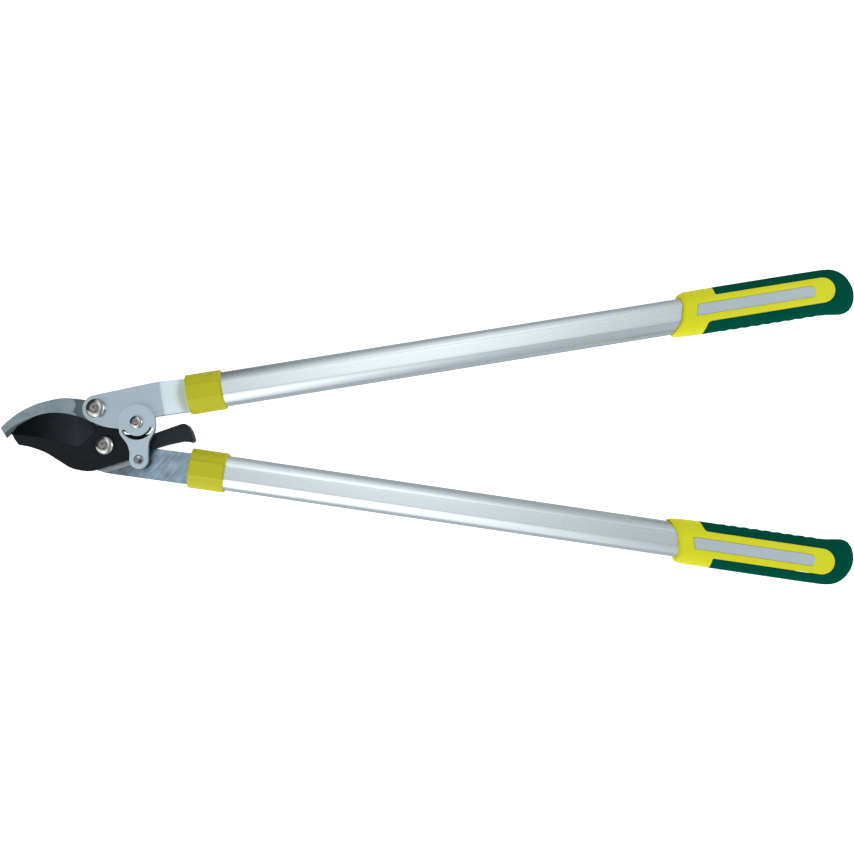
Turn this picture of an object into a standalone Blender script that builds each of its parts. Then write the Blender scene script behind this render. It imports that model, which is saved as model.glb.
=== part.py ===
"""Long-handled bypass loppers with a link between the upper handle and the blade.

The loppers lie flat. +X runs from the jaw to the grips, +Y from the lower
handle to the upper one, +Z is up. Lengths below are millimetres in the drawing
frame; ORIGIN is the drawing point that becomes the part's own origin.
"""

from math import atan2, cos, degrees, hypot, pi, radians, sin

import bmesh
import bpy
from mathutils import Matrix, Vector

MM = 0.001
ORIGIN = (4.77, 1.45)  # centre of the outline, in drawing coordinates
GAP = 0.3  # running gap between touching pieces

# pivots
HANDLE_PIVOT = (-289.3, 14.5)  # upper handle on the hook
BLADE_PIVOT = (-282.9, -17.5)  # blade on the hook
LINK_PIVOT = (-252.8, 2.1)  # link on the upper handle
LINK_RIVET = (-250.8, -30.5)  # link on the blade's lobe
BOLT_R = 4.0
LINK_BOLT_R = 3.8
RIVET_R = 3.2
RIVET_PLAY = 0.7  # radial play of the rivet in the blade's lobe

# layers, from the table up
MID_Z = 13.5  # middle plane of both tubes
HOOK_Z = (11.0, 16.0)
BLADE_Z = (16.3, 20.8)
ARM_Z = (21.1, 25.6)
LINK_Z = (25.9, 29.9)

# handles: start of each centre line, its angle, and which way is outward
UPPER = {"at": (-180.0, 33.4), "angle": 9.39, "side": 1, "collar": -32.5, "grip": 415.0}
LOWER = {"at": (-180.0, -41.1), "angle": -8.38, "side": -1, "collar": -29.4, "grip": 407.8}

TUBE_A, TUBE_B, TUBE_FLAT, TUBE_WALL = 15.5, 10.9, 10.5, 1.6
COLLAR_A, COLLAR_B, COLLAR_LENGTH, COLLAR_FACE = 17.7, 12.7, 31.7, 4.5
TUBE_IN_GRIP = 100.0
TANG_HALF, TANG_LENGTH = 12.0, 28.0
TANG_RIVETS = (12.0, 24.0)  # behind the collar's front face
TANG_RIVET_R = 2.2

GRIP_LENGTH, GRIP_HALF_HEIGHT = 157.6, 13.5
PANEL_MID, PANEL_HALF = 0.55, 11.3  # bright panel on the grip, off the centre line
SCALLOP, SCALLOP_PITCH = 0.3, 10.1
INLAY_DEPTH = 1.2

JOGGLE = (-54.0, -34.5)  # where the upper arm steps down, along its handle

for old in list(bpy.data.objects):
    bpy.data.objects.remove(old, do_unlink=True)

parts = bpy.data.collections.new("bypass_loppers")
cutters = bpy.data.collections.new("cutters")
for collection in (parts, cutters):
    bpy.context.scene.collection.children.link(collection)
cutters.hide_render = True


# ---------------------------------------------------------------- helpers
def material(name, color, roughness, metallic):
    made = bpy.data.materials.new(name)
    made.use_nodes = True
    shader = made.node_tree.nodes["Principled BSDF"]
    shader.inputs["Base Color"].default_value = (*color, 1)
    shader.inputs["Roughness"].default_value = roughness
    shader.inputs["Metallic"].default_value = metallic
    made.diffuse_color = (*color, 1)
    return made


STEEL = material("hook_steel", (0.36, 0.42, 0.47), 0.38, 1.0)
ARM_STEEL = material("arm_steel", (0.50, 0.56, 0.60), 0.40, 1.0)
BLADE_COAT = material("blade_coating", (0.018, 0.022, 0.026), 0.42, 0.2)
CHROME = material("bolt_chrome", (0.72, 0.71, 0.68), 0.12, 1.0)
ZINC = material("fastener_zinc", (0.55, 0.57, 0.58), 0.35, 1.0)
ALUMINIUM = material("tube_aluminium", (0.63, 0.66, 0.68), 0.35, 1.0)
COLLAR_PLASTIC = material("collar_plastic", (0.54, 0.51, 0.03), 0.45, 0.0)
GRIP_PLASTIC = material("grip_plastic", (0.75, 0.73, 0.02), 0.42, 0.0)
GRIP_RUBBER = material("grip_rubber", (0.0, 0.08, 0.05), 0.6, 0.0)
INLAY_PLASTIC = material("inlay_plastic", (0.46, 0.52, 0.57), 0.35, 0.0)
PLUG_PLASTIC = material("plug_plastic", (0.03, 0.03, 0.03), 0.6, 0.0)


def table_frame():
    """The drawing frame, moved so that ORIGIN is at the part's origin."""
    return Matrix.Translation((-ORIGIN[0] * MM, -ORIGIN[1] * MM, 0))


def handle_frame(handle):
    """x along the handle towards the grip, y to its left, z up from the tubes' middle plane."""
    x, y = handle["at"]
    return (
        table_frame()
        @ Matrix.Translation((x * MM, y * MM, MID_Z * MM))
        @ Matrix.Rotation(radians(handle["angle"]), 4, "Z")
    )


def on_handle(handle, u, v):
    """Drawing coordinates of a point u along the handle and v outward from its centre line."""
    x, y = handle["at"]
    turn = radians(handle["angle"])
    v *= handle["side"]
    return (x + u * cos(turn) - v * sin(turn), y + u * sin(turn) + v * cos(turn))


def smooth_run(points, steps=5):
    """An open smooth curve through the points, which keeps both ends."""
    ends = [
        (2 * points[0][0] - points[1][0], 2 * points[0][1] - points[1][1]),
        *points,
        (2 * points[-1][0] - points[-2][0], 2 * points[-1][1] - points[-2][1]),
    ]
    found = []
    for i in range(1, len(ends) - 2):
        a, b, c, d = ends[i - 1 : i + 3]
        for k in range(steps):
            t = k / steps
            found.append(
                tuple(
                    0.5
                    * (
                        2 * b[j]
                        + (c[j] - a[j]) * t
                        + (2 * a[j] - 5 * b[j] + 4 * c[j] - d[j]) * t**2
                        + (3 * b[j] - a[j] - 3 * c[j] + d[j]) * t**3
                    )
                    for j in (0, 1)
                )
            )
    return [*found, points[-1]]


def arc(centre, radius, start, end, count):
    """Points on an arc, with its angles in degrees."""
    return [
        (
            centre[0] + radius * cos(radians(start + (end - start) * k / count)),
            centre[1] + radius * sin(radians(start + (end - start) * k / count)),
        )
        for k in range(count + 1)
    ]


def circle(centre, radius, count=24):
    return arc(centre, radius, 0, 360, count)[:-1]


def oval(a, b, power=2.5, flat=None, count=32):
    """A rounded section, with its top and bottom cut flat at the height flat."""
    found = []
    for k in range(count):
        turn = 2 * pi * (k + 0.5) / count
        c, s = cos(turn), sin(turn)
        v = a * abs(c) ** (2 / power) * (1 if c > 0 else -1)
        z = b * abs(s) ** (2 / power) * (1 if s > 0 else -1)
        if flat is not None:
            z = max(-flat, min(flat, z))
        found.append((v, z))
    return found


def without_repeats(points):
    """The loop with no point twice, and none in the middle of a straight side."""
    kept = []
    for p in points:
        if not kept or hypot(p[0] - kept[-1][0], p[1] - kept[-1][1]) > 0.02:
            kept.append(p)
    if hypot(kept[0][0] - kept[-1][0], kept[0][1] - kept[-1][1]) < 0.02:
        kept.pop()
    corners = []
    for k, p in enumerate(kept):
        a, b = kept[k - 1], kept[(k + 1) % len(kept)]
        bend = (p[0] - a[0]) * (b[1] - p[1]) - (p[1] - a[1]) * (b[0] - p[0])
        if abs(bend) > 1e-4:
            corners.append(p)
    return corners


def place(obj, mat, cutter):
    if cutter:
        cutters.objects.link(obj)
        obj.hide_render = True
        obj.display_type = "WIRE"
    else:
        parts.objects.link(obj)
        obj.data.materials.clear()
        obj.data.materials.append(mat)


def extruded(name, loops, low, high, frame, mat=None, cutter=False):
    """A flat outline with holes, as a filled curve extruded from low to high along the frame's z, made a mesh."""
    curve = bpy.data.curves.new(name, "CURVE")
    curve.dimensions = "2D"
    curve.fill_mode = "BOTH"
    curve.extrude = (high - low) / 2 * MM
    for loop in loops:
        loop = without_repeats(loop)
        spline = curve.splines.new("POLY")
        spline.points.add(len(loop) - 1)
        for point, (x, y) in zip(spline.points, loop):
            point.co = (x * MM, y * MM, 0, 1)
        spline.use_cyclic_u = True
    drawn = bpy.data.objects.new(name + "_outline", curve)
    bpy.context.scene.collection.objects.link(drawn)
    drawn.matrix_world = frame @ Matrix.Translation((0, 0, (low + high) / 2 * MM))
    bpy.context.view_layer.update()
    graph = bpy.context.evaluated_depsgraph_get()
    mesh = bpy.data.meshes.new_from_object(drawn.evaluated_get(graph))
    mesh.name = name
    shape = bmesh.new()
    shape.from_mesh(mesh)
    bmesh.ops.remove_doubles(shape, verts=shape.verts, dist=1e-6)
    bmesh.ops.recalc_face_normals(shape, faces=shape.faces)
    shape.to_mesh(mesh)
    shape.free()
    obj = bpy.data.objects.new(name, mesh)
    place(obj, mat, cutter)
    obj.matrix_world = drawn.matrix_world
    bpy.data.objects.remove(drawn, do_unlink=True)
    bpy.data.curves.remove(curve)
    mesh.shade_smooth()
    mesh.set_sharp_from_angle(angle=radians(35))
    return obj


def along_handle(handle):
    """A frame for sections: x is to the handle's left, y is up, z runs along it."""
    return handle_frame(handle) @ Matrix(((0, 0, 1, 0), (1, 0, 0, 0), (0, 1, 0, 0), (0, 0, 0, 1)))


def turned(name, profile, centre, mat, steps=20):
    """A turned piece on a vertical axis; the profile runs from its top centre down its outer side."""
    mesh = bpy.data.meshes.new(name)
    shape = bmesh.new()
    points = [shape.verts.new((r * MM, 0, z * MM)) for r, z in profile]
    for a, b in zip(points, points[1:]):
        shape.edges.new((a, b))
    shape.to_mesh(mesh)
    shape.free()
    obj = bpy.data.objects.new(name, mesh)
    place(obj, mat, False)
    obj.matrix_world = table_frame() @ Matrix.Translation((centre[0] * MM, centre[1] * MM, 0))
    screw = obj.modifiers.new("turn", "SCREW")
    screw.axis = "Z"
    screw.angle = 2 * pi
    screw.steps = screw.render_steps = steps
    screw.use_merge_vertices = True
    screw.merge_threshold = 1e-5
    screw.use_smooth_shade = True
    return obj


def boolean(obj, operation, other):
    step = obj.modifiers.new(operation.lower(), "BOOLEAN")
    step.operation = operation
    step.solver = "EXACT"
    step.object = other
    return step


def lofted(name, rings, frame, mat=None, cutter=False):
    """A closed body through rings of equal count, each a list of (x, y, z) in millimetres."""
    mesh = bpy.data.meshes.new(name)
    shape = bmesh.new()
    made = [[shape.verts.new(Vector(p) * MM) for p in ring] for ring in rings]
    count = len(rings[0])
    for lower, upper in zip(made, made[1:]):
        for k in range(count):
            n = (k + 1) % count
            shape.faces.new((lower[k], lower[n], upper[n], upper[k]))
    shape.faces.new(made[0][::-1])
    shape.faces.new(made[-1])
    bmesh.ops.recalc_face_normals(shape, faces=shape.faces)
    shape.to_mesh(mesh)
    shape.free()
    mesh.shade_smooth()
    mesh.set_sharp_from_angle(angle=radians(40))
    obj = bpy.data.objects.new(name, mesh)
    place(obj, mat, cutter)
    obj.matrix_world = frame
    return obj


def interpolated(table, x):
    """A value read off a table of (x, value) rows, with straight lines between them."""
    if x <= table[0][0]:
        return table[0][1]
    for (a, va), (b, vb) in zip(table, table[1:]):
        if x <= b:
            return va + (vb - va) * (x - a) / (b - a)
    return table[-1][1]


# ---------------------------------------------------------------- hook jaw and lower arm
HOOK_INNER = [
    (-372.7, -6.6), (-368.9, -2.8), (-359.0, 3.3), (-345.2, 9.3), (-333.0, 11.6),
    (-315.8, 10.3), (-303.5, 5.8), (-299.0, -3.0), (-300.5, -15.0), (-299.0, -29.0), (-292.1, -38.7),
]
HOOK_OUTER = [
    (-302.0, 23.4), (-313.0, 24.6), (-323.8, 24.7), (-334.5, 22.9), (-346.5, 19.2), (-359.8, 12.5),
    (-369.0, 5.7), (-376.2, -1.4),
]
TIP_SLOPE = [(-368.0, 4.3), (-336.0, 0.0)]  # how far the jaw's inner wall leans out towards its back face

tang_low = LOWER["collar"] + COLLAR_FACE - 0.6
hook_outline = (
    [*HOOK_INNER[:1], *smooth_run(HOOK_INNER)[1:]]
    + [(-284.0, -41.4), (-265.0, -44.2), on_handle(LOWER, -63.9, 15.3)]
    + [on_handle(LOWER, tang_low, 15.0), on_handle(LOWER, tang_low, TANG_HALF)]
    + [on_handle(LOWER, LOWER["collar"] + TANG_LENGTH, TANG_HALF)]
    + [on_handle(LOWER, LOWER["collar"] + TANG_LENGTH, -TANG_HALF)]
    + [on_handle(LOWER, tang_low, -TANG_HALF), on_handle(LOWER, tang_low, -13.0)]
    + [on_handle(LOWER, -56.7, -12.4), (-247.0, -18.8), (-262.0, -13.5), (-270.0, -5.0), (-274.5, 6.0)]
    + arc(HANDLE_PIVOT, 11.4, -20, 105, 10)
    + smooth_run(HOOK_OUTER)
)
hook = extruded(
    "hook_and_lower_arm",
    [hook_outline, circle(HANDLE_PIVOT, BOLT_R + GAP), circle(BLADE_PIVOT, BOLT_R + GAP)],
    *HOOK_Z, table_frame(), STEEL,
)
for vert in hook.data.vertices:
    x, y = vert.co.x / MM, vert.co.y / MM
    middle = interpolated([(-376.0, -4.0), (-359.0, 8.0), (-345.0, 14.5), (-333.0, 17.0)], x)
    if vert.co.z < 0 and x < -336.0 and y < middle:
        vert.co.y -= interpolated(TIP_SLOPE, x) * MM

# ---------------------------------------------------------------- blade
BLADE_EDGE = [
    (-365.4, -5.3), (-361.6, -0.6), (-352.2, 5.3), (-341.7, 10.1), (-329.6, 11.7),
    (-316.2, 9.9), (-304.0, 5.6), (-296.0, 1.6), (-290.5, -2.5),
]
BLADE_BACK = [
    (-261.6, -29.8), (-275.0, -34.2), (-289.7, -38.7), (-303.0, -39.7), (-312.5, -37.7), (-321.9, -31.6),
    (-335.5, -23.5), (-348.9, -18.8), (-358.3, -16.8), (-362.4, -12.1),
]
TAIL_TOP = [(-266.0, -7.6), (-252.0, -8.4), (-239.9, -6.8), (-215.8, 1.9), (-211.8, 1.1)]
TAIL_END = [(-207.7, -5.1), (-205.8, -11.9), (-209.6, -14.3)]
TAIL_UNDER = [(-214.9, -13.9), (-229.0, -17.2), (-240.5, -20.7), (-243.6, -25.5)]
BEVEL_WIDTH = [(-365.4, 3.0), (-352.0, 9.0), (-330.0, 14.5), (-310.0, 13.0), (-298.0, 9.0), (-290.5, 4.0)]  # by x along the edge

blade_outline = (
    smooth_run(BLADE_EDGE)
    + arc(BLADE_PIVOT, 19.0, 108, 32, 8)
    + TAIL_TOP + TAIL_END + TAIL_UNDER
    + arc(LINK_RIVET, 7.4, 10, -186, 11)
    + smooth_run(BLADE_BACK)
)
blade = extruded(
    "cutting_blade",
    [blade_outline, circle(BLADE_PIVOT, BOLT_R + GAP), circle(LINK_RIVET, RIVET_R + RIVET_PLAY)],
    *BLADE_Z, table_frame(), BLADE_COAT,
)
# the tail's end turns down into a stop, which meets the lower arm when the jaw shuts
stop = extruded(
    "tail_stop_shape",
    [[(-210.9, 1.0), (-207.9, -5.1), (-206.0, -11.8), (-209.5, -14.0), (-212.0, -6.0), (-214.0, 1.4)]],
    9.5, BLADE_Z[0] + 2.0, table_frame(), cutter=True,
)
boolean(blade, "UNION", stop)
# the ground bevel falls from the shoulder line to the cutting edge
rings = []
edge = smooth_run(BLADE_EDGE, 3)[::-1]
outward = Vector((0.0, 1.0))
for k, (x, y) in enumerate(edge):
    before, after = edge[max(0, k - 1)], edge[min(len(edge) - 1, k + 1)]
    outward = Vector((after[1] - before[1], before[0] - after[0])).normalized()
    wide = interpolated(BEVEL_WIDTH, x)
    slope = (BLADE_Z[1] - BLADE_Z[0] - 0.6) / wide
    near, far = Vector((x, y)) - outward * wide, Vector((x, y)) + outward * 3
    rings.append([
        (*near, BLADE_Z[1]),
        (*far, BLADE_Z[1] - slope * (wide + 3)),
        (*far, BLADE_Z[1] + 3),
        (*near, BLADE_Z[1] + 3),
    ])
bevel = lofted("blade_bevel", rings, table_frame(), cutter=True)
boolean(blade, "DIFFERENCE", bevel)

# ---------------------------------------------------------------- upper arm
arm_start = UPPER["collar"] + COLLAR_FACE - 0.6
arm_outline = (
    arc(HANDLE_PIVOT, 12.2, 102, 250, 14)
    + smooth_run([(-291.0, 2.0), (-285.1, -0.6), (-277.5, -2.2), (-270.4, -3.2), (-262.5, -7.0)])
    + arc(LINK_PIVOT, 11.3, -120, -8, 8)
    + smooth_run([(-238.6, 7.6), (-230.0, 8.9), on_handle(UPPER, -40.0, -15.3)])
    + [on_handle(UPPER, arm_start, -14.9), on_handle(UPPER, arm_start, -TANG_HALF)]
    + [on_handle(UPPER, UPPER["collar"] + TANG_LENGTH, -TANG_HALF)]
    + [on_handle(UPPER, UPPER["collar"] + TANG_LENGTH, TANG_HALF)]
    + [on_handle(UPPER, arm_start, TANG_HALF), on_handle(UPPER, arm_start, 14.9)]
    + [on_handle(UPPER, -36.0, 14.9), on_handle(UPPER, -53.5, 14.2)]
)
arm = extruded(
    "upper_arm_plate",
    [arm_outline, circle(HANDLE_PIVOT, BOLT_R + GAP), circle(LINK_PIVOT, LINK_BOLT_R + GAP)],
    *ARM_Z, table_frame(), ARM_STEEL,
)
shape = bmesh.new()
shape.from_mesh(arm.data)
turn = radians(UPPER["angle"])
along = Vector((cos(turn), sin(turn), 0))
steps = 6
for k in range(steps + 1):
    u = JOGGLE[0] + (JOGGLE[1] - JOGGLE[0]) * k / steps
    point = Vector((*on_handle(UPPER, u, 0), 0)) * MM
    bmesh.ops.bisect_plane(
        shape, geom=[*shape.verts, *shape.edges, *shape.faces],
        plane_co=point, plane_no=along, dist=1e-6,
    )
fall = (ARM_Z[0] + ARM_Z[1]) / 2 - MID_Z
for vert in shape.verts:
    u = (vert.co - Vector((*UPPER["at"], 0)) * MM).dot(along) / MM
    t = max(0.0, min(1.0, (u - JOGGLE[0]) / (JOGGLE[1] - JOGGLE[0])))
    ease = t * t * (3 - 2 * t) * 0.35 + t * 0.65
    vert.co.z -= fall * ease * MM
bmesh.ops.triangulate(shape, faces=[f for f in shape.faces if len(f.verts) > 4])
shape.to_mesh(arm.data)
shape.free()
arm.data.shade_smooth()
arm.data.set_sharp_from_angle(angle=radians(35))

# ---------------------------------------------------------------- link
LINK_R, LINK_END_R = 15.8, 7.9
SLOT_R, SLOT_HALF, SLOT_ANGLES = 13.6, 1.7, (-24.7, -143.8)
link_outline = (
    arc(LINK_PIVOT, LINK_R, 5, 178, 24)
    + smooth_run([(-268.4, -2.5), (-266.9, -8.9), (-260.9, -16.9), (-258.4, -24.0)])
    + arc(LINK_RIVET, LINK_END_R, 180, 360, 14)
    + smooth_run([(-243.0, -23.2), (-241.8, -14.2), (-237.6, -5.8), (-237.0, -1.5)])
)
slot = (
    arc(LINK_PIVOT, SLOT_R + SLOT_HALF, *SLOT_ANGLES, 14)
    + arc(
        (LINK_PIVOT[0] + SLOT_R * cos(radians(SLOT_ANGLES[1])), LINK_PIVOT[1] + SLOT_R * sin(radians(SLOT_ANGLES[1]))),
        SLOT_HALF, SLOT_ANGLES[1] + 0, SLOT_ANGLES[1] - 180, 5,
    )
    + arc(LINK_PIVOT, SLOT_R - SLOT_HALF, SLOT_ANGLES[1], SLOT_ANGLES[0], 14)
    + arc(
        (LINK_PIVOT[0] + SLOT_R * cos(radians(SLOT_ANGLES[0])), LINK_PIVOT[1] + SLOT_R * sin(radians(SLOT_ANGLES[0]))),
        SLOT_HALF, SLOT_ANGLES[0] + 180, SLOT_ANGLES[0], 5,
    )
)
link = extruded(
    "link_plate",
    [link_outline, slot, circle(LINK_PIVOT, LINK_BOLT_R + GAP), circle(LINK_RIVET, RIVET_R + GAP)],
    *LINK_Z, table_frame(), ARM_STEEL,
)


# ---------------------------------------------------------------- fasteners
def bolt(name, centre, shank_r, bottom, seat, head_r, dome, socket_r, socket_depth):
    """A domed bolt with a hexagon socket."""
    top = seat + dome
    profile = [(0, top)]
    profile += [(head_r * 0.42 * k / 2, top - 0.04 * k) for k in (1, 2)]
    profile += [
        (head_r * (0.42 + 0.58 * sin(radians(a))), seat + 1.0 + (dome - 1.08) * cos(radians(a)))
        for a in (18, 36, 54, 72, 90)
    ]
    profile += [(head_r, seat), (shank_r, seat), (shank_r, bottom + 0.6), (shank_r - 0.6, bottom), (0, bottom)]
    made = turned(name, profile, centre, CHROME)
    hexagon = extruded(
        name + "_socket", [circle((0, 0), socket_r, 6)], top - socket_depth, top + 2,
        made.matrix_world.copy(), cutter=True,
    )
    boolean(made, "DIFFERENCE", hexagon)
    return made


def ring(name, centre, outer, inner, low, high, mat, sides=32):
    return extruded(name, [circle(centre, outer, sides), circle(centre, inner, 24)], low, high, table_frame(), mat)


handle_bolt = bolt("handle_pivot_bolt", HANDLE_PIVOT, BOLT_R, 0.0, ARM_Z[1] + GAP, 8.7, 4.4, 2.9, 2.6)
blade_bolt = bolt("blade_pivot_bolt", BLADE_PIVOT, BOLT_R, 0.0, BLADE_Z[1] + GAP, 8.4, 4.2, 2.9, 2.6)
link_bolt = bolt("link_bolt", LINK_PIVOT, LINK_BOLT_R, ARM_Z[0] + 0.3, LINK_Z[1] + GAP, 5.7, 3.0, 2.2, 1.9)
handle_spacer = ring("handle_pivot_spacer", HANDLE_PIVOT, 10.5, BOLT_R + GAP, HOOK_Z[1] + GAP, ARM_Z[0] - GAP, ZINC)
handle_washer = ring("handle_pivot_washer", HANDLE_PIVOT, 8.0, BOLT_R + GAP, 9.5, HOOK_Z[0] - GAP, ZINC)
blade_washer = ring("blade_pivot_washer", BLADE_PIVOT, 8.0, BOLT_R + GAP, 9.5, HOOK_Z[0] - GAP, ZINC)
handle_nut = ring("handle_pivot_nut", HANDLE_PIVOT, 7.5, BOLT_R + GAP, 2.4, 9.2, ZINC, 6)
blade_nut = ring("blade_pivot_nut", BLADE_PIVOT, 7.5, BOLT_R + GAP, 2.4, 9.2, ZINC, 6)
rivet_spacer = ring("link_rivet_spacer", LINK_RIVET, 6.4, RIVET_R + GAP, ARM_Z[0], ARM_Z[1], ZINC)
rivet_top = LINK_Z[1] + GAP
link_rivet = turned(
    "link_rivet",
    [
        (0, rivet_top + 0.2), (2.2, rivet_top + 0.5), (3.2, rivet_top + 0.9), (3.9, rivet_top + 0.8),
        (4.2, rivet_top + 0.3), (4.2, rivet_top), (RIVET_R, rivet_top), (RIVET_R, BLADE_Z[0] + 0.4), (0, BLADE_Z[0] + 0.4),
    ],
    LINK_RIVET, ZINC, 24,
)


# ---------------------------------------------------------------- handles
def grip_sides(u):
    """(outer, inner) half widths of the grip at u behind its front edge."""
    outer = interpolated(
        [(0, 20.6), (60, 20.8), (128, 20.7), (136, 20.3), (141, 19.2), (146, 16.7), (150.8, 12.3), (154.3, 6.8), (156.4, 2.0), (157.6, -1.0)], u
    )
    inner = interpolated(
        [(0, 17.6), (10, 19.0), (34, 19.3), (60, 19.5), (124, 19.6), (132, 20.0), (140, 21.1), (146, 21.7), (150, 20.3),
         (153.5, 16.5), (155.6, 11.8), (157.0, 7.6), (157.6, 5.0)], u
    )
    wave = max(0.0, min(1.0, (u - 30) / 8, (130 - u) / 8))
    return outer, inner + SCALLOP * wave * cos(2 * pi * (u - 38) / SCALLOP_PITCH)


def grip_front(v):
    """How far the front edge runs forward on its inner side, at v outward."""
    return interpolated([(-20, -12.4), (-17, -10.4), (-11, -5.8), (-5, -3.4), (0, -1.8), (5, -0.5), (10, 0.3), (15, -0.2), (17.5, -0.2), (20.4, 1.6)], v)


def grip_shape(name, handle, cutter, mat=None):
    rings = []
    stations = [0, 3, 8, 14, 20, 26] + [38 + SCALLOP_PITCH / 2 * k for k in range(-1, 19)] + [134, 138, 142, 145, 148, 150.5, 152.5, 154.3, 155.8, 156.9, 157.6]
    side, count = handle["side"], 26
    for u in stations:
        outer, inner = grip_sides(u)
        lift = 1.0 if u < 140 else max(0.18, 1 - ((u - 140) / 17.8) ** 2) ** 0.5
        height = (GRIP_HALF_HEIGHT + 0.5) * lift
        low = min(GRIP_HALF_HEIGHT, height)
        if u < 3:
            height, low, outer, inner = height - 0.8, low - 0.6, outer - 0.6, inner - 0.6
        ring_points = []
        for k in range(count):
            a = 2 * pi * (k + 0.5) / count
            c, s = cos(a), sin(a)
            mid, half = (outer - inner) / 2, (outer + inner) / 2
            v = mid + half * abs(c) ** (2 / 2.7) * (1 if c > 0 else -1)
            z = height * abs(s) ** (2 / 2.7) * (1 if s > 0 else -1)
            z = max(-low, min(low, z))
            fade = max(0.0, 1 - u / 24)
            ring_points.append((u + handle["grip"] + fade * grip_front(v), v * side, z))
        rings.append(ring_points if side > 0 else ring_points[::-1])
    return lofted(name, rings, handle_frame(handle), mat, cutter)


def panel_region(handle, grow, low=-20.0, high=20.0, name="panel", ends=-25.0):
    """The bright part of the grip in plan: its flared front and the long panel, as a prism."""
    g, s = handle["grip"], handle["side"]
    half = PANEL_HALF + grow
    loop = [(ends, 30), (30.9 + grow, 30), (30.9 + grow, PANEL_MID + half + 1.6)]
    loop += [(31.4 + grow, PANEL_MID + half + 0.5), (33 + grow, PANEL_MID + half)]
    loop += arc((125.1, PANEL_MID), half, 90, -90, 14)
    loop += [(25.4, PANEL_MID - half), (23.2, PANEL_MID - half - 0.7), (21.2 + grow, PANEL_MID - half - 2.3)]
    loop += [(16.8 + grow, PANEL_MID - half - 7.5), (12.2 + grow, -30), (ends, -30)]
    loop = [(u + g, v * s) for u, v in loop]
    return extruded(name, [loop if s > 0 else loop[::-1]], low, high, handle_frame(handle), cutter=True)


def inlay_loop(handle, grow):
    g, s = handle["grip"], handle["side"]
    half, mid = 4.7 + grow, 0.8
    loop = arc((114.0, mid), half, 90, -90, 8) + [(11.5 - grow * 1.6, mid - half), (16.3 - grow * 1.6, mid + half)]
    loop = [(u + g, v * s) for u, v in loop]
    return loop if s > 0 else loop[::-1]


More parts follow.
